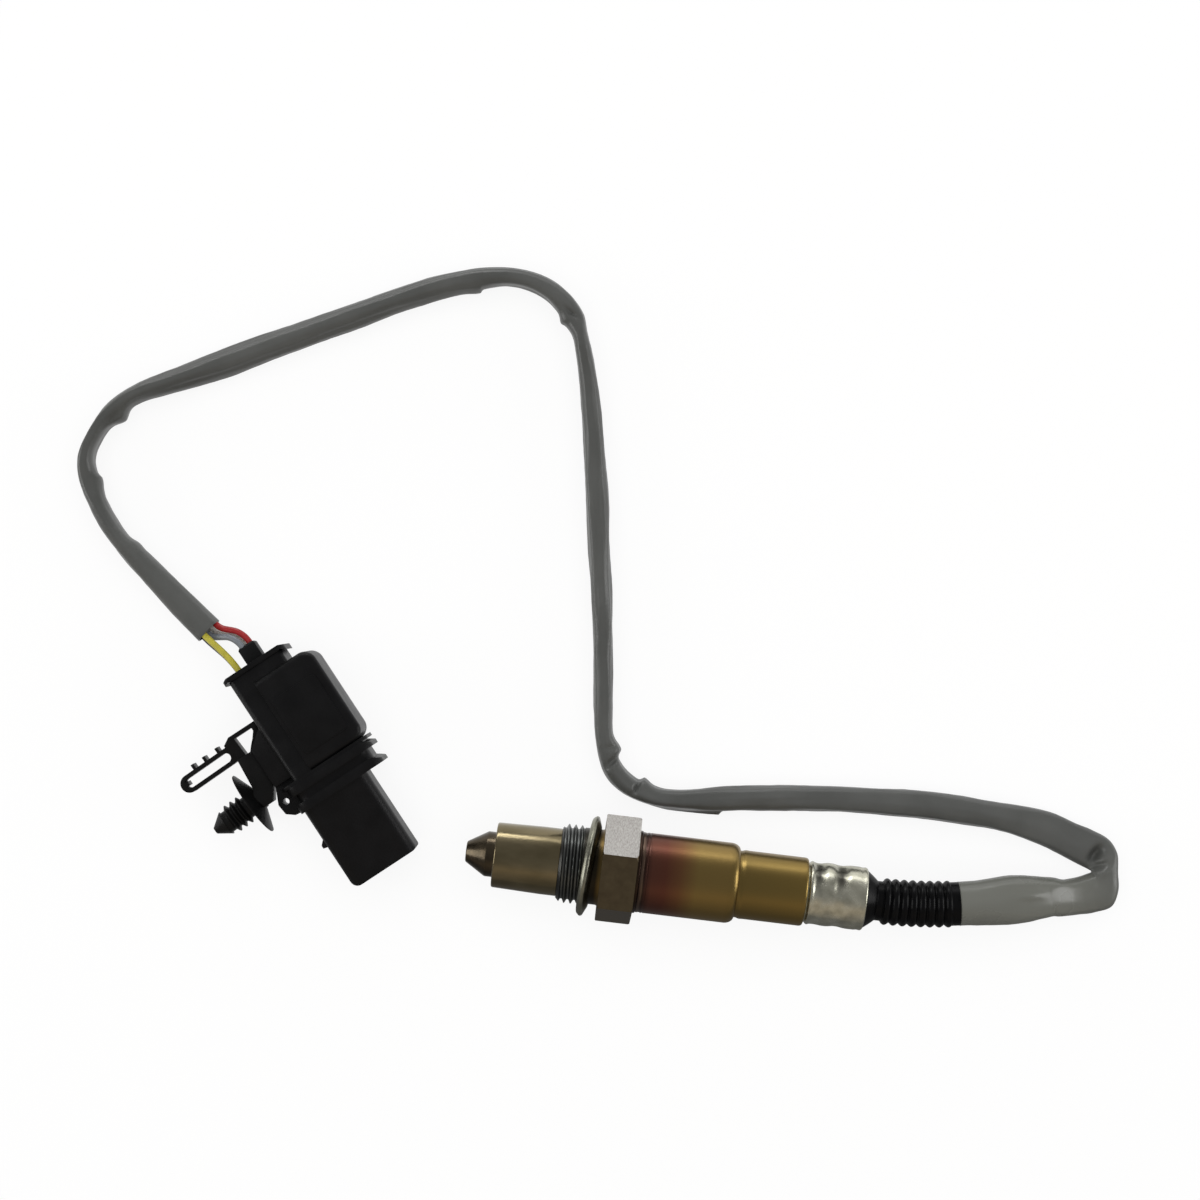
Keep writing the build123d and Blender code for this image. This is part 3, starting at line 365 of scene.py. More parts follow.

# ---- wrench hexagon --------------------------------------------------------------------------
# The 22 mm hexagon of the same body. Both ends are chamfered, and the flats carry the fine
# marks of a spanner. The flat that faces up is scratched and painted a lighter silver as a painted
# highlight; the others are browned by heat.
HEX_CORNER, HEX_ROLL, HEX_LENGTH, HEX_BORE = 12.7017, 10.5, 8.0, 8.7
HEX_OVER = 1.0             # how far the bar stands out before it is turned
CHAMFER_R, CORNER_R = 12.3, 12.8
EDGE_ROUND, EDGE_ANGLE = 0.12, 18


def settled(piece):
    """The piece's mesh once its modifiers have done their work."""
    bpy.context.view_layer.update()
    graph = bpy.context.evaluated_depsgraph_get()
    return bpy.data.meshes.new_from_object(piece.evaluated_get(graph))


def round_edges(piece, width, angle):
    """Rounds every edge sharper than an angle in degrees, by a width in mm."""
    rounded = piece.modifiers.new("rounded", "BEVEL")
    rounded.width = width * MM
    rounded.segments = 2
    rounded.angle_limit = radians(angle)
    piece.data = settled(piece)
    piece.modifiers.clear()


hex_angles = [radians(HEX_ROLL + 60 * k) for k in range(6)]
bar_corners = [
    (x * MM, HEX_CORNER * cos(a) * MM, HEX_CORNER * sin(a) * MM)
    for x in (-HEX_OVER, HEX_LENGTH + HEX_OVER) for a in hex_angles
]
bar_faces = [(5, 4, 3, 2, 1, 0), (6, 7, 8, 9, 10, 11)]
bar_faces += [(k, (k + 1) % 6, 6 + (k + 1) % 6, 6 + k) for k in range(6)]
hexagon = bare_object("wrench_hexagon", bar_corners, bar_faces)
envelope = bare_object("envelope", *turn_outline([
    (0, HEX_BORE), (0, CHAMFER_R), (0.25, CORNER_R), (7.55, CORNER_R), (HEX_LENGTH, CHAMFER_R),
    (HEX_LENGTH, HEX_BORE),
], sides=192))
turned = hexagon.modifiers.new("turned", "BOOLEAN")
turned.operation = "INTERSECT"
turned.solver = "EXACT"
turned.object = envelope
turned_mesh = settled(hexagon)
hexagon.modifiers.clear()
hexagon.data = turned_mesh
bpy.data.objects.remove(envelope)

flat_steel = finish(
    "flat_steel", (98, 87, 69), (112, 101, 80), (0.30, 0.42), metallic=1.0, scale=500, bump=0.2
)
# spanner scratches and painted highlight: the flat facing up and away is mixed to a lighter silver
tinted_where(flat_steel, "scuffed_and_sheen", (158, 155, 151))
tree = flat_steel.node_tree
place = tree.nodes.new("ShaderNodeTexCoord")
lengthwise = tree.nodes.new("ShaderNodeMapping")
lengthwise.inputs["Scale"].default_value = (4, 1.2, 1.2)
scored = tree.nodes.new("ShaderNodeTexNoise")
scored.inputs["Scale"].default_value = 1400
scored.inputs["Detail"].default_value = 4
tree.links.new(place.outputs["Object"], lengthwise.inputs["Vector"])
tree.links.new(lengthwise.outputs[0], scored.inputs["Vector"])
scratch_sheen_tones = [(0.3, paint(144, 141, 137)), (0.7, paint(184, 181, 177))]
tree.links.new(tone_node(tree, scored.outputs[0], scratch_sheen_tones), tree.nodes["tint"].inputs["B"])

round_edges(hexagon, EDGE_ROUND, EDGE_ANGLE)
hexagon.data.materials.clear()
hexagon.data.materials.append(flat_steel)
shaded(hexagon.data, 14)
# painted highlight: only the flat that faces up towards the far lamps gets the lighter silver
scuff_and_sheen_share = hexagon.data.attributes.new("scuffed_and_sheen", "FLOAT", "FACE")
top_angle = radians(HEX_ROLL + 30)
top_flat = Vector((0, cos(top_angle), sin(top_angle)))
for face in hexagon.data.polygons:
    scuff_and_sheen_share.data[face.index].value = 1.0 if face.normal.dot(top_flat) > 0.985 else 0.0
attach(hexagon, "root")
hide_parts("housing")

# ---- sealing ring ----------------------------------------------------------------------------
# Crush ring folded from thin steel sheet, so it is hollow and springs a little. It is loose in
# the relief groove and hangs slightly cocked, its rim polished where it has been handled.
SHEET, FOLD_ROUND = 0.45, 0.3
RING_X, RING_DROP = -2.63, 0.05
RING_LEAN, RING_TIP = -3.6, -3.5           # degrees, about Z and about Y
RING_PLACE = Matrix.Translation((RING_X * MM, 0, -RING_DROP * MM))
RING_PLACE @= Matrix.Rotation(radians(RING_LEAN), 4, "Z") @ Matrix.Rotation(radians(RING_TIP), 4, "Y")


def eased(points, radius, steps=4):
    """Open line with its corners rounded to a reach in mm, or less where its runs are short."""
    points = [Vector(p) for p in points]
    line = [points[0]]
    for before, corner, after in zip(points, points[1:], points[2:]):
        one, two = (before - corner), (after - corner)
        reach = min(radius, one.length * 0.45, two.length * 0.45)
        start, end = corner + one.normalized() * reach, corner + two.normalized() * reach
        for k in range(steps + 1):
            t = k / steps
            line.append((start * (1 - t) + corner * t) * (1 - t) + (corner * (1 - t) + end * t) * t)
    return line + [points[-1]]


def thickened(line, thickness):
    """Closed outline of a sheet whose middle follows the line."""
    sides = ([], [])
    for k, point in enumerate(line):
        ahead = line[min(k + 1, len(line) - 1)] - line[max(k - 1, 0)]
        normal = Vector((-ahead.y, ahead.x)).normalized() * thickness / 2
        sides[0].append(tuple(point + normal))
        sides[1].append(tuple(point - normal))
    return sides[0] + sides[1][::-1]


fold = eased([
    (-0.975, 9.025), (-0.92, 10.74), (-0.22, 11.32), (0.1, 11.2), (0.975, 9.025), (0.0, 9.025), (0.0, 9.9),
], FOLD_ROUND)
bright_sheet = finish(
    "bright_sheet", (124, 123, 110), (160, 159, 144), (0.28, 0.42), metallic=1.0, scale=500, bump=0.12
)
sealing_ring = make_piece(
    "crush_ring", *turn_outline(thickened(fold, SHEET), RING_PLACE), bright_sheet, "gasket_steel", edge=60
)
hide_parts("sealing_ring")

# ---- protection tubes ------------------------------------------------------------------------
# Two drawn heat-resistant steel cups. The outer one has gas holes in its front and the inner one
# a coned nose. Exhaust heat has left them olive and bronze.
TUBE_EDGE = 0.35


def softened(node, name, material, width, angle=32):
    """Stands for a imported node: its own form with the sharp edges rounded by a width in mm."""
    work = bmesh.new()
    work.from_mesh(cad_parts[node].data)
    bmesh.ops.remove_doubles(work, verts=work.verts, dist=2e-6)
    bmesh.ops.dissolve_limit(work, angle_limit=radians(0.6), verts=work.verts, edges=work.edges)
    corners = [v.co.copy() for v in work.verts]
    work.verts.index_update()
    faces = [[v.index for v in face.verts] for face in work.faces]
    work.free()
    piece = bare_object(name, corners, faces)
    round_edges(piece, width, angle)
    shaded(piece.data, angle)
    piece.data.materials.append(material)
    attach(piece, "root")
    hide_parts(node)


olive_steel = finish(
    "olive_steel", (115, 105, 79), (147, 135, 107), (0.15, 0.22), metallic=1.0, scale=180,
    stretch=(0.5, 1, 1), bump=0.12
)
bronze_steel = finish(
    "bronze_steel", (66, 60, 50), (96, 86, 70), (0.18, 0.30), metallic=1.0, scale=300, bump=0.12
)
softened("outer_protection_tube", "outer_tube", olive_steel, TUBE_EDGE)
softened("inner_protection_tube", "inner_tube", bronze_steel, TUBE_EDGE)

# ---- element, ceramics and talc inside the housing -------------------------------------------
# Flat laminated sensing element, coned and plain ceramic bushes, and the pressed powder between
# them. All are dry, matt and off-white.


def made_of(material, *nodes):
    """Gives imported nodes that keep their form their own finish."""
    for node in nodes:
        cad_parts[node].material_slots[0].material = material


element_ceramic = finish("element_ceramic", (214, 212, 204), (232, 230, 224), (0.45, 0.6), scale=600)
bush_ceramic = finish("bush_ceramic", (222, 218, 206), (238, 234, 226), (0.5, 0.7), scale=500)
pressed_talc = finish("pressed_talc", (196, 192, 180), (216, 212, 202), (0.8, 0.95), scale=900, bump=0.4)
made_of(element_ceramic, "sensing_element")
made_of(bush_ceramic, "front_ceramic", "rear_ceramic")
made_of(pressed_talc, "talc_seal")

# ---- shield tube -----------------------------------------------------------------------------
# Drawn steel sleeve, laser-welded on the collar, stepped down towards the cable, with a rolled
# bead in the step and a rounded rear rim. Heat colours run along it: red-brown, then straw gold.
SHIELD_R, SHIELD_SMALL_R, SHIELD_IN, SHIELD_SMALL_IN = 9.15, 7.8, 8.65, 7.25
SHIELD_END, WELD_ROUND = 46.9, 0.2
SHOULDER_X, SHOULDER_LENGTH, SHOULDER_DROP = 29.0, 2.2, 1.5
BEAD_X, BEAD_LENGTH, BEAD_R, BEAD_SWING = 31.5, 1.1, 7.73, 0.12
RIM_X, RIM_LENGTH, RIM_DROP = 46.1, 0.8, 0.5
shield_outline = [tuple(p) for p in eased([
    (8.7, SHIELD_IN), (8.7, SHIELD_R), (9.3, SHIELD_R), (9.6, 9.02), (9.9, SHIELD_R), (10.2, 9.17),
    (10.4, 9.06), (10.6, 9.17), (11.0, SHIELD_R), (12.0, SHIELD_R),
], WELD_ROUND)]
for step in range(13):
    roll = pi / 2 * step / 12
    shoulder_r = SHIELD_R - SHOULDER_DROP + SHOULDER_DROP * cos(roll)
    shield_outline.append((SHOULDER_X + SHOULDER_LENGTH * sin(roll), shoulder_r))
for step in range(9):
    shield_outline.append((BEAD_X + BEAD_LENGTH * step / 8, BEAD_R - BEAD_SWING * cos(pi * step / 8)))
shield_outline += [(33.4, SHIELD_SMALL_R), (34.5, SHIELD_SMALL_R), (45.5, SHIELD_SMALL_R)]
for step in range(9):
    roll = pi / 2 * step / 8
    shield_outline.append((RIM_X + RIM_LENGTH * sin(roll), SHIELD_SMALL_IN + 0.05 + RIM_DROP * cos(roll)))
shield_outline += [(SHIELD_END, SHIELD_SMALL_IN), (31.65, SHIELD_SMALL_IN), (29.25, SHIELD_IN)]
heat_steel = finish(
    "heat_steel", (100, 100, 100), (120, 120, 120), (0.28, 0.38), metallic=1.0, scale=90,
    stretch=(0.4, 1, 1), bump=0.08
)
oxide = heat_steel.node_tree.nodes["Principled BSDF"]
oxide.inputs["Coat Weight"].default_value = 0.2
oxide.inputs["Coat Roughness"].default_value = 0.25
toned_along(heat_steel, [
    (8.0, (60, 44, 40)), (9.0, (90, 56, 46)), (9.7, (44, 30, 28)), (10.4, (112, 92, 78)),
    (10.9, (70, 46, 40)), (12.5, (110, 68, 55)), (15.5, (114, 68, 53)), (18.8, (130, 90, 59)),
    (22.8, (150, 125, 72)), (29.5, (151, 126, 72)), (32.0, (142, 119, 66)), (47.0, (149, 125, 68)),
], sway=0.05)
shield = make_piece(
    "heat_shield_tube", *turn_outline(shield_outline, sides=160), heat_steel, "shield_steel", edge=50
)
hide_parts("shield_tube")

# ---- contacts inside the shield tube ---------------------------------------------------------
# Split ceramic holder clamped by a ribbed steel band, with five sprung strips that touch the
# element and run back to the leads.
spring_steel = finish("spring_steel", (150, 148, 142), (182, 180, 174), (0.25, 0.4), metallic=1.0)
made_of(bush_ceramic, "contact_holder_upper", "contact_holder_lower")
made_of(spring_steel, "holder_spring", "contact_springs")

# ---- crimp sleeve and grommet ----------------------------------------------------------------
# Bright tube squeezed in two rows of eight dents onto the rubber grommet that seals the leads.
# The jaws leave soft valleys and bulges, deeper on one side, and its rear edge is rolled in.
# The dents on the deeper side are darkened: jaw scuffs and painted shade.
CRIMP_R, CRIMP_IN = 7.2, 6.3
CRIMP_FRONT, CRIMP_REAR, REAR_ROUND, REAR_DROP = 45.0, 60.6, 0.55, 0.62
JAW_START, CRIMP_STEPS = 46.95, 65
VALLEYS = ((49.4, 1.35), (54.5, 1.5))      # middle and half width
DENTS = 8
JAW_TURN = 65.0            # degrees, one dent's middle
DEEP_TURN = 42.0           # degrees, the side that took the deeper squeeze
RINGS = ((48.0, 0.3, 0.12), (47.2, 0.3, -0.45), (59.4, 0.5, -0.10))     # middle, half width, height


def crimp_radius(x, angle):
    """Outside of the crimped tube: eight dents in each of two rows, behind a raised lip."""
    squeeze = sum(exp(-(abs((x - middle) / width) ** 2.6)) for middle, width in VALLEYS)
    dent = 0.5 + 0.5 * cos(DENTS * (angle - radians(JAW_TURN)))
    deeper = max(cos(angle - radians(DEEP_TURN)), 0) ** 3
    depth = 0.20 + 0.22 * dent + 0.42 * deeper
    wave = noise.noise(Vector((x * 0.30, 1.5 * cos(angle), 1.5 * sin(angle)))) * 0.10
    lips = sum(height * exp(-(((x - middle) / width) ** 2)) for middle, width, height in RINGS)
    return CRIMP_R - squeeze * depth + wave * (0.15 + squeeze) + lips


def dent_scuff_and_shade(x, angle):
    """How dark the dents on the deeper side are painted there, jaw scuffs and painted shade, 0 to 1."""
    squeeze = sum(exp(-(((x - middle) / width) ** 2)) for middle, width in VALLEYS)
    return squeeze * max(cos(angle - radians(DEEP_TURN)), 0) ** 6


crimp_outline = [(CRIMP_FRONT, CRIMP_IN), (CRIMP_FRONT, CRIMP_R), (46.8, CRIMP_R)]
rear_start = CRIMP_REAR - REAR_ROUND
for step in range(CRIMP_STEPS + 1):
    x = JAW_START + (rear_start - JAW_START) * step / CRIMP_STEPS
    crimp_outline.append((x, lambda angle, x=x: crimp_radius(x, angle)))
for step in range(1, 6):
    bend = pi / 2 * step / 5
    crimp_outline.append((
        rear_start + REAR_ROUND * sin(bend),
        lambda angle, bend=bend: crimp_radius(rear_start, angle) - REAR_DROP * (1 - cos(bend)),
    ))
crimp_outline.append((CRIMP_REAR, CRIMP_IN))
bright_steel = finish(
    "bright_steel", (188, 186, 168), (232, 230, 212), (0.20, 0.32), metallic=1.0, scale=420, bump=0.2
)
crimp = make_piece(
    "crimped_tube", *turn_outline(crimp_outline, sides=160), bright_steel, "crimp_steel", edge=50
)
# jaw scuffs and painted shade: the deeper side's dents are mixed towards dark grey
tinted_where(bright_steel, "scuffed_and_shaded", (84, 82, 76))
scuffed_and_shaded = crimp.data.attributes.new("scuffed_and_shaded", "FLOAT", "POINT")
for vertex in crimp.data.vertices:
    x, y, z = vertex.co / MM
    scuffed_and_shaded.data[vertex.index].value = dent_scuff_and_shade(x, atan2(z, y))
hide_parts("crimp_sleeve")
grommet_rubber = finish("grommet_rubber", (30, 30, 31), (44, 44, 45), (0.5, 0.65))
made_of(grommet_rubber, "wire_grommet")

# ---- corrugated boot -------------------------------------------------------------------------
# Moulded black rubber boot, held in the crimp and ribbed so that it bends: a short cone, eight
# round ribs and a plain lip. It is set in a slight curve towards the cable's loop.
BOOT_START, BEND_R, BOOT_LENGTH = 63.2, 117.0, 19.0
BOOT_FRONT, PLUG_R, BOOT_BORE = -5.2, 6.25, 3.4
CONE_LENGTH, CONE_END_R, CONE_RISE = 2.6, 4.45, 2.15
LIP_LENGTH, LIP_R = 2.0, 4.95
RIB_FIRST, RIB_PITCH, RIB_COUNT, RIB_R, WAIST_R, NECK_END_R = 2.2, 2.03, 8, 5.32, 4.68, 4.5
BOOT_STEP, BOOT_SIDES = 0.12, 96


def boot_frame(distance):
    """Centre and sideways direction on the boot's curve, in mm from the cone's end."""
    if distance < 0:
        return Vector((BOOT_START + distance, 0, 0)), Vector((0, 1, 0))
    turn = distance / BEND_R
    centre = Vector((BOOT_START + BEND_R * sin(turn), BEND_R * (1 - cos(turn)), 0))
    return centre, Vector((-sin(turn), cos(turn), 0))


def boot_radius(distance):
    """Outside of the boot at a distance from the cone's end."""
    if distance < 0:
        return CONE_END_R + CONE_RISE * min(-distance / CONE_LENGTH, 1) ** 0.9
    if distance > BOOT_LENGTH - LIP_LENGTH:
        return LIP_R
    gap = (distance - RIB_FIRST + RIB_PITCH / 2) % RIB_PITCH - RIB_PITCH / 2
    ribbed = -0.7 < distance - RIB_FIRST < RIB_PITCH * (RIB_COUNT - 1) + RIB_PITCH / 2
    base = NECK_END_R if distance < RIB_FIRST - 1 else WAIST_R
    return base + (RIB_R - base) * max(cos(gap * pi / RIB_PITCH), 0) ** 1.1 * ribbed


stations = [(BOOT_FRONT, PLUG_R), (-CONE_LENGTH, PLUG_R)]
stations += [(-2.58 + 0.2 * k, None) for k in range(13)]
stations += [(BOOT_STEP * k, None) for k in range(int(BOOT_LENGTH / BOOT_STEP))]
stations += [(BOOT_LENGTH - 0.1, LIP_R), (BOOT_LENGTH, LIP_R - 0.1)]
stations += [(BOOT_LENGTH, BOOT_BORE), (BOOT_FRONT, BOOT_BORE)]
corners = []
for i in range(BOOT_SIDES):
    angle = 2 * pi * i / BOOT_SIDES
    for distance, r in stations:
        centre, sideways = boot_frame(distance)
        r = boot_radius(distance) if r is None else r
        corners.append((centre + sideways * r * cos(angle) + Vector((0, 0, r * sin(angle)))) * MM)
faces = skin(BOOT_SIDES, len(stations))
boot_rubber = finish(
    "boot_rubber", (4, 4, 5), (8, 8, 9), (0.22, 0.34), scale=500, bump=0.12, specular=0.12
)
boot = make_piece("ribbed_boot", corners, faces, boot_rubber, "boot_rubber", edge=50)
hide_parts("corrugated_boot")
lead_jacket = finish("lead_jacket", (196, 196, 190), (212, 212, 206), (0.4, 0.55))
made_of(lead_jacket, "sensor_leads")

# ---- cable sleeve ----------------------------------------------------------------------------
# Thin soft grey tube pushed over the boot's lip with the five wires loose inside. It lies
# flattened and half turned on the bench, folds sharply once near the boot, and buckles on the
# inside of each bend.
ROUTE = [
    (0.08212, 0.00154, 0), (0.09169, 0.00311, 0),
    (0.1006, 0.0043, -0.0032), (0.1077, 0.0055, -0.0066), (0.1140, 0.0066, -0.008723),
    (0.1167, 0.0115, -0.008723), (0.1147, 0.0168, -0.008723), (0.1093, 0.0186, -0.008723),
    (0.0999, 0.0208, -0.008723), (0.0869, 0.0222, -0.008723), (0.0729, 0.0226, -0.008723),
    (0.0555, 0.0217, -0.008723), (0.0370, 0.0200, -0.008723), (0.0210, 0.0174, -0.008723),
    (0.0092, 0.0163, -0.008723), (0.0007, 0.0203, -0.008723), (-0.0024, 0.0281, -0.008723),
    (-0.0039, 0.0400, -0.008723), (-0.0067, 0.0583, -0.008723), (-0.0109, 0.0812, -0.008723),
    (-0.0144, 0.1018, -0.008723), (-0.0174, 0.1154, -0.008723), (-0.0206, 0.1243, -0.008723),
    (-0.0262, 0.1300, -0.008723), (-0.0349, 0.1326, -0.008723), (-0.0440, 0.1313, -0.008723),
    (-0.0552, 0.1272, -0.008723), (-0.0729, 0.1187, -0.008723), (-0.0922, 0.1087, -0.008723),
    (-0.1093, 0.1001, -0.008723), (-0.1206, 0.0948, -0.008723), (-0.1275, 0.0881, -0.008723),
    (-0.1301, 0.0785, -0.008723), (-0.1264, 0.0691, -0.008723), (-0.1183, 0.0598, -0.008723),
    (-0.1077, 0.0513, -0.008223), (-0.0970, 0.0433, -0.006323),
]
LIE = -8.723                               # height of its middle where it lies on the bench
# flattened section: distance from the boot, reach to the left and to the right, half height (mm)
BREADTHS = [
    (0, 4.98, 4.98, 5.0), (4, 5.1, 5.05, 4.95), (12.6, 5.93, 5.25, 4.7), (22.8, 4.84, 4.1, 4.5),
    (28, 4.4, 4.6, 3.7), (33, 3.8, 5.2, 3.4), (37, 3.0, 5.8, 3.2), (41, 3.0, 4.6, 3.0),
    (46.8, 5.0, 3.1, 2.5), (57, 4.15, 3.95, 2.3), (65.8, 3.30, 3.64, 3.0), (74, 3.13, 3.13, 3.4),
    (89, 3.18, 3.18, 3.35), (103, 2.9, 2.9, 3.6), (133, 2.87, 2.87, 3.6), (142.9, 2.32, 2.32, 4.0),
    (150.8, 1.90, 2.38, 4.1), (160.5, 2.32, 2.32, 4.0), (170, 2.56, 1.60, 4.1), (200, 2.36, 2.36, 4.0),
    (228, 2.27, 2.83, 3.85), (248.5, 2.2, 2.2, 4.05), (257.4, 1.91, 1.91, 4.2), (262, 1.74, 1.74, 4.3),
    (266, 2.55, 2.45, 3.9), (275, 2.2, 2.2, 4.05), (286, 2.08, 2.08, 4.1), (293, 2.82, 2.50, 3.8),
    (301.6, 2.78, 2.78, 3.7), (318.8, 3.16, 2.74, 3.55), (336, 3.2, 3.2, 3.35), (354, 3.22, 3.22, 3.3),
    (368, 2.55, 2.55, 3.85), (375.8, 2.08, 2.08, 4.1), (383, 2.5, 1.51, 4.0), (389, 2.38, 0.98, 4.2),
    (395, 1.8, 1.8, 4.2), (400.5, 2.5, 1.97, 3.9), (406, 2.27, 1.67, 4.15), (416, 2.03, 2.03, 4.1),
    (422, 2.79, 2.31, 3.85), (430, 3.19, 2.61, 3.6), (437, 3.2, 2.95, 3.4), (444.4, 3.2, 3.2, 3.25),
]
# distance, side (+1 left), height of the buckle, length before its tip and after it (mm)
BUCKLES = [
    (153.0, -1, 1.1, 3.2, 1.0), (165.3, -1, 1.3, 1.6, 3.2), (266.3, 1, 0.6, 1.0, 2.0),
    (291.6, 1, 0.6, 0.5, 4.0), (381.0, 1, 1.5, 2.6, 3.8), (400.3, 1, 0.6, 1.4, 3.5),
    (419.0, 1, 0.4, 2.0, 2.0),
]
# the sharp fold: distance, then x and y of the sleeve's inner and outer edge (mm)
FOLD = [
    (22.0, 103.2, 9.5, 103.4, 0.7), (25.5, 106.2, 9.3, 106.7, 0.9), (30.0, 109.9, 10.2, 111.2, 1.7),
    (33.5, 112.6, 11.4, 115.0, 2.6), (36.0, 113.0, 11.6, 118.5, 4.2), (38.5, 113.0, 11.7, 119.7, 7.9),
    (41.0, 113.0, 11.8, 119.2, 12.2), (43.5, 112.9, 11.9, 118.5, 16.7), (46.5, 111.3, 12.5, 116.0, 19.7),
    (50.0, 108.3, 13.6, 111.5, 21.5), (54.0, 103.9, 15.3, 106.0, 23.05),
]
# creases pressed into its top: middle x and y, half length, half width, turn in degrees, depth (mm)
CREASES = [
    (113.2, 15.6, 2.6, 1.3, 62, 2.7), (113.9, 13.2, 2.1, 0.8, 23, 1.6), (115.1, 12.0, 3.2, 0.9, 54, -0.5),
    (0.2, 24.5, 2.4, 0.7, 49, 1.2), (6.0, 18.9, 2.0, 0.6, 67, 1.1), (-0.6, 27.5, 1.8, 0.5, 20, 0.5),
    (98.0, 5.5, 3.2, 0.8, 7, -0.6), (106.4, 9.0, 3.6, 0.75, 31, -0.35), (90.8, 7.4, 3.6, 0.9, 18, -0.45),
    (-22.0, 125.4, 1.8, 0.5, -32, 0.8), (-123.9, 88.9, 2.4, 0.8, 50, 0.9),
]
# a pressed edge stands out of its near side, from the first to the second distance (mm)
FLAP, FLAP_REACH = (133.4, 152.0), 1.0
AROUND = 56
# rings that roll in its two ends: step along the route and how much smaller (mm)
FRONT_LIP = ((-0.05, 0.35), (-0.1, 0.12), (0.05, -0.08))
REAR_LIP = ((0.9, 0.0), (1.0, 0.06), (1.0, 0.26), (0.9, 0.32), (0.0, 0.34))


def ramp(s, start, end):
    """Share of the way from one distance to another, 0 before and 1 after."""
    return within((s - start) / (end - start))


def smooth(share):
    """The same share with its ends eased."""
    return share * share * (3 - 2 * share)


def flowing(table, s):
    """Reading of a table of stations along one flowing curve."""
    index = max(k for k, row in enumerate(table[:-1]) if k == 0 or row[0] <= s)
    span = table[index + 1][0] - table[index][0]
    t = within((s - table[index][0]) / span)
    values = []
    for column in range(1, len(table[0])):
        slopes = []
        for k in (index, index + 1):
            low, high = table[max(k - 1, 0)], table[min(k + 1, len(table) - 1)]
            slopes.append((high[column] - low[column]) / (high[0] - low[0]) * span)
        a, b = table[index][column], table[index + 1][column]
        bend = (2 * t**3 - 3 * t * t + 1) * a + (t**3 - 2 * t * t + t) * slopes[0]
        values.append(bend + (3 * t * t - 2 * t**3) * b + (t**3 - t * t) * slopes[1])
    return values


route_curve = bpy.data.curves.new("route", "CURVE")
route_curve.dimensions = "3D"
route_curve.resolution_u = 24
spline = route_curve.splines.new("NURBS")
spline.points.add(len(ROUTE) - 1)
for point, (x, y, z) in zip(spline.points, ROUTE):
    point.co = (x, y, z, 1)
spline.order_u = 3
spline.use_endpoint_u = True
route_object = bpy.data.objects.new("route", route_curve)
bpy.context.collection.objects.link(route_object)
line = []
for vertex in settled(route_object).vertices:
    if not line or (vertex.co - line[-1]).length > 0.01 * MM:
        line.append(vertex.co.copy())
bpy.data.objects.remove(route_object)
distances = [0.0]
for a, b in zip(line, line[1:]):
    distances.append(distances[-1] + (b - a).length / MM)


def sleeve_ring(centre, along, s, shrink=0.0):
    """One ring of the sleeve around the route, flattened, buckled and wrinkled as it lies."""
    left, right, half = flowing(BREADTHS, s)
    for tip, side, rise, before, after in BUCKLES:
        reach = before if s < tip else after
        bump = rise * exp(-(((s - tip) / reach) ** 2) * 1.6)
        if side > 0:
            left += bump
        else:
            right += bump
    lean = Vector((0, 0, 1)).cross(along).normalized()
    z = centre.z / MM
    middle = Vector((centre.x / MM, centre.y / MM, 0))
    if FOLD[0][0] < s < FOLD[-1][0]:
        inner_x, inner_y, outer_x, outer_y = flowing(FOLD, s)
        inner, outer = Vector((inner_x, inner_y, 0)), Vector((outer_x, outer_y, 0))
        share = smooth(min((s - FOLD[0][0]) / 4, (FOLD[-1][0] - s) / 4, 1))
        inner = inner * share + (middle + lean * left) * (1 - share)
        outer = outer * share + (middle - lean * right) * (1 - share)
        middle, lean = (inner + outer) / 2, (inner - outer).normalized()
        left = right = (inner - outer).length / 2
    lying = ramp(s, 28, 45)                           # down on the bench
    tight = ramp(s, 12, 22) * ramp(s, 64, 54)         # pulled smooth around the sharp fold
    roofed = ramp(s, 285, 310) * ramp(s, 385, 360)    # ridged along its top like a roof
    loose = ramp(s, 0, 15) * (1 - 0.65 * tight)
    z += (BENCH_Z / MM + half - LIE) * lying
    z = max(z, BENCH_Z / MM + half)
    ring = []
    for k in range(AROUND):
        angle = 2 * pi * k / AROUND
        c, d = cos(angle), sin(angle)
        reach = left if c > 0 else right
        swell = 1.0 + (0.10 - 0.22 * roofed) * (1 - abs(c * c - d * d)) * ramp(s, 5, 19)
        wrinkle = noise.noise(Vector((s * 0.09, 1.6 * c + 7, 1.6 * d))) * 0.30 * loose
        wrinkle += noise.noise(Vector((s * 0.04, 4.0 * c, 4.0 * d + 3))) * 0.16 * loose
        wrinkle += noise.noise(Vector((s * 0.5, 2.5 * c, 2.5 * d + 3))) * 0.06
        if FLAP[0] < s < FLAP[1] and c > 0 and d < -0.15:
            wrinkle += FLAP_REACH * min((s - FLAP[0]) / 0.8, (FLAP[1] - s) / 18, 1) * c**0.5
        sideways = (reach * swell + wrinkle - shrink) * c
        upward = (half * swell + wrinkle * 0.6 - shrink) * d
        upward = max(upward, BENCH_Z / MM - z + 0.02)
        point = middle + lean * sideways
        for x, y, length, width, turn, depth in CREASES:
            away = point - Vector((x, y, 0))
            axis = Vector((cos(radians(turn)), sin(radians(turn)), 0))
            across = away.dot(Vector((-axis.y, axis.x, 0))) / width
            if d > 0 and away.length < 3 * length:
                upward -= depth * exp(-((away.dot(axis) / length) ** 2) - across * across) * d
        ring.append((point + Vector((0, 0, z + upward))) * MM)
    return ring


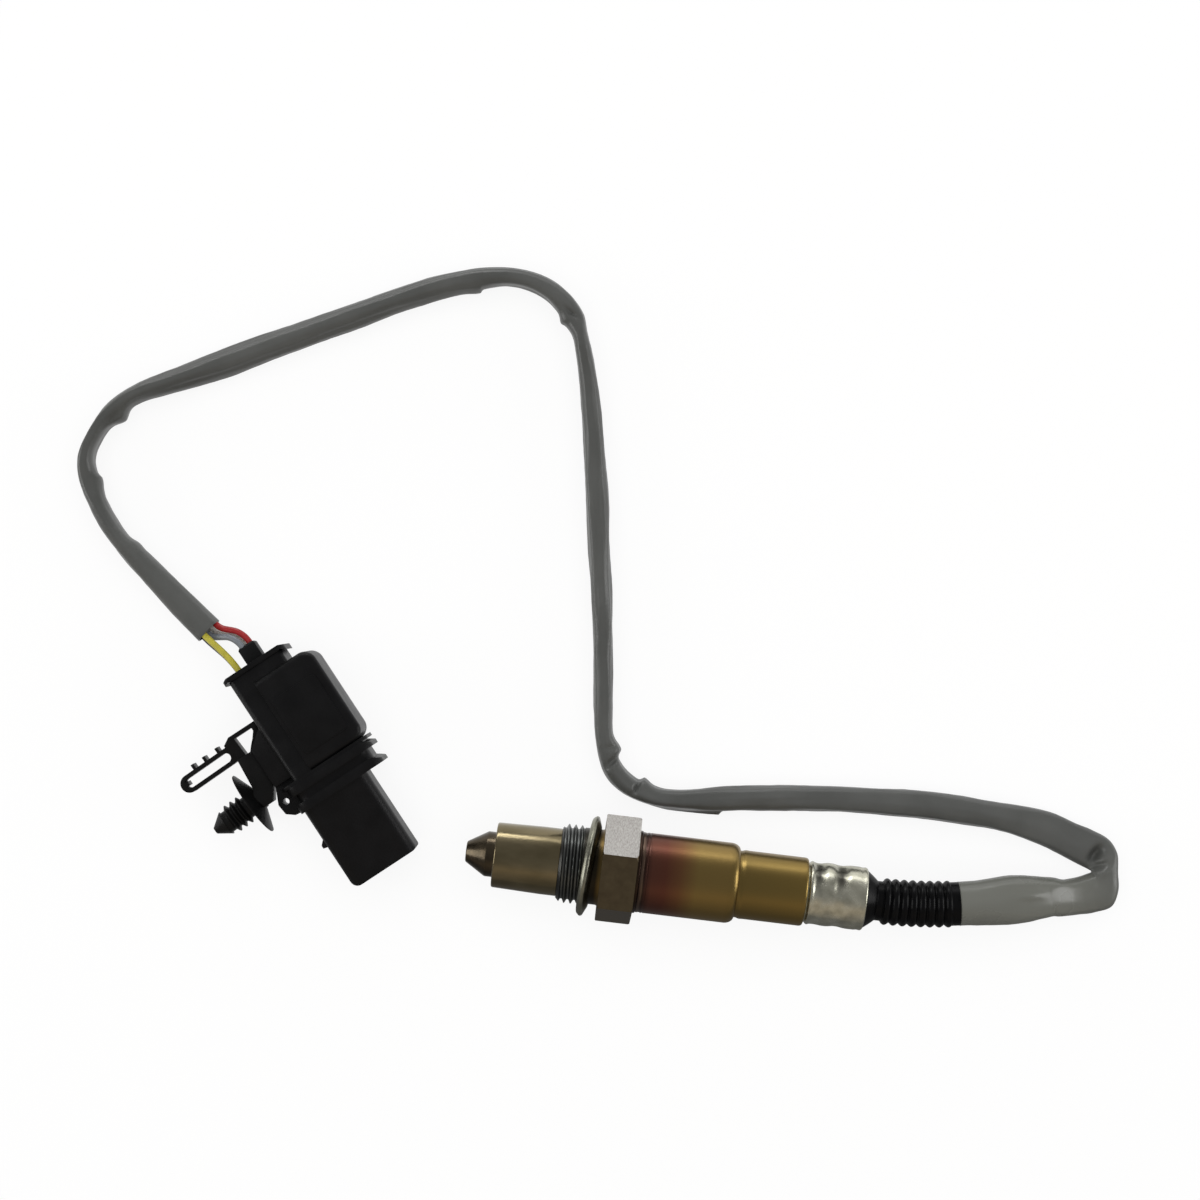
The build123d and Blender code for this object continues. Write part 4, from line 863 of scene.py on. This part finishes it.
rings, marks = [], []
start_way = (line[1] - line[0]).normalized()
for forward, shrink in FRONT_LIP:
    rings.append(sleeve_ring(line[0] + start_way * forward * MM, start_way, 0, shrink))
    marks.append(0)
for index, point in enumerate(line):
    ahead = (line[min(index + 1, len(line) - 1)] - line[max(index - 1, 0)]).normalized()
    rings.append(sleeve_ring(point, ahead, distances[index]))
    marks.append(distances[index])
end_way = (line[-1] - line[-2]).normalized()
for forward, shrink in REAR_LIP:
    rings.append(sleeve_ring(line[-1] + end_way * forward * MM, end_way, distances[-1], shrink))
    marks.append(distances[-1] + forward)
corners = [v for ring in rings for v in ring]
faces = skin(len(rings), AROUND, closed=False)
faces.append(tuple(range(AROUND)))
faces.append(tuple(range((len(rings) - 1) * AROUND, len(rings) * AROUND)))

soft_sleeve = finish(
    "soft_sleeve", (65, 66, 64), (79, 80, 78), (0.33, 0.43), scale=60, bump=0.15, grain=900
)
# painted light: near the boot the sleeve is mixed to a lighter grey; it is also made glossier there
tinted_where(soft_sleeve, "lit_and_glossy", (99, 100, 94))
tree = soft_sleeve.node_tree
roughness = tree.nodes["Principled BSDF"].inputs["Roughness"]
wrinkled = roughness.links[0].from_socket
sleek = maths_node(tree, "MULTIPLY_ADD", tree.nodes["lit_and_glossy"].outputs["Fac"], -0.10, wrinkled)
tree.links.new(sleek, roughness)
sleeve = make_piece("cable_jacket", corners, faces, soft_sleeve, "sleeve_grey", edge=60)
# painted light and gloss: full near the boot, fading out between 26 and 48 mm along the sleeve
lit_and_glossy_share = sleeve.data.attributes.new("lit_and_glossy", "FLOAT", "POINT")
for index in range(len(corners)):
    lit_and_glossy_share.data[index].value = ramp(marks[index // AROUND], 48, 26)
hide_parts("cable_sleeve")

# ---- wires between sleeve and connector ------------------------------------------------------
# Five thin insulated wires, red, white, grey, yellow and black, which leave the sleeve's end and
# go through the guide and the cap to their terminals. The plastic is smooth and slightly waxy.
WIRE_TONES = {
    "wire_red": (150, 20, 22), "wire_white": (206, 204, 196), "wire_grey": (112, 116, 122),
    "wire_yellow": (178, 168, 48), "wire_black": (20, 20, 22),
}
for node, tone in WIRE_TONES.items():
    insulation = finish(
        node.replace("wire_", "insulation_"), [int(c * 0.9) for c in tone], tone, (0.32, 0.45), scale=500,
        bump=0.05
    )
    made_of(insulation, node)

# ---- connector body, cover, cap and guide ----------------------------------------------------
# Black moulded plastic with a fine spark-eroded grain: plug shroud with its ribs and tray, the
# cover pushed over the trim resistor, the rear cap and the guide that gathers three wires. All
# have the small round edges that a mould leaves.
HOUSING_EDGE, CAP_EDGE = 0.22, 0.15
moulded_black = finish(
    "moulded_black", (7, 7, 8), (12, 12, 13), (0.34, 0.48), scale=220, bump=0.4, grain=4000,
    specular=0.2
)
guide_black = finish(
    "guide_black", (9, 10, 11), (15, 16, 17), (0.45, 0.6), scale=300, bump=0.4, specular=0.2
)
softened("connector_housing", "plug_body", moulded_black, HOUSING_EDGE)
softened("terminal_cover", "resistor_cover", moulded_black, HOUSING_EDGE)
softened("rear_cap", "end_cap", moulded_black, CAP_EDGE)
softened("wire_guide", "guide_block", guide_black, CAP_EDGE)

# ---- inside the connector --------------------------------------------------------------------
# Soft seals, tinned brass terminals, the locking insert on the socket's floor, and the small
# board with the trim resistor.
seal_rubber = finish("seal_rubber", (96, 44, 34), (116, 54, 42), (0.5, 0.65))
tinned_brass = finish("tinned_brass", (176, 170, 150), (206, 200, 182), (0.25, 0.38), metallic=1.0)
lock_plastic = finish("lock_plastic", (38, 40, 44), (48, 50, 54), (0.45, 0.6))
circuit_board = finish("circuit_board", (28, 76, 48), (36, 92, 58), (0.35, 0.5))
made_of(seal_rubber, "wire_seal", "interface_seal")
made_of(tinned_brass, "terminal_pins")
made_of(lock_plastic, "secondary_lock")
made_of(circuit_board, "trim_resistor")

# ---- mounting clip ---------------------------------------------------------------------------
# Tough black plastic clip on the connector's rail, moulded in one piece: window frame, toothed
# eye for a cable tie, and a fir-tree stem with an umbrella that holds in a panel hole.
clip_black = finish(
    "clip_black", (8, 8, 8), (13, 13, 13), (0.36, 0.50), scale=260, bump=0.35, grain=3500, specular=0.2
)
softened("mounting_clip", "panel_clip", clip_black, 0.12)
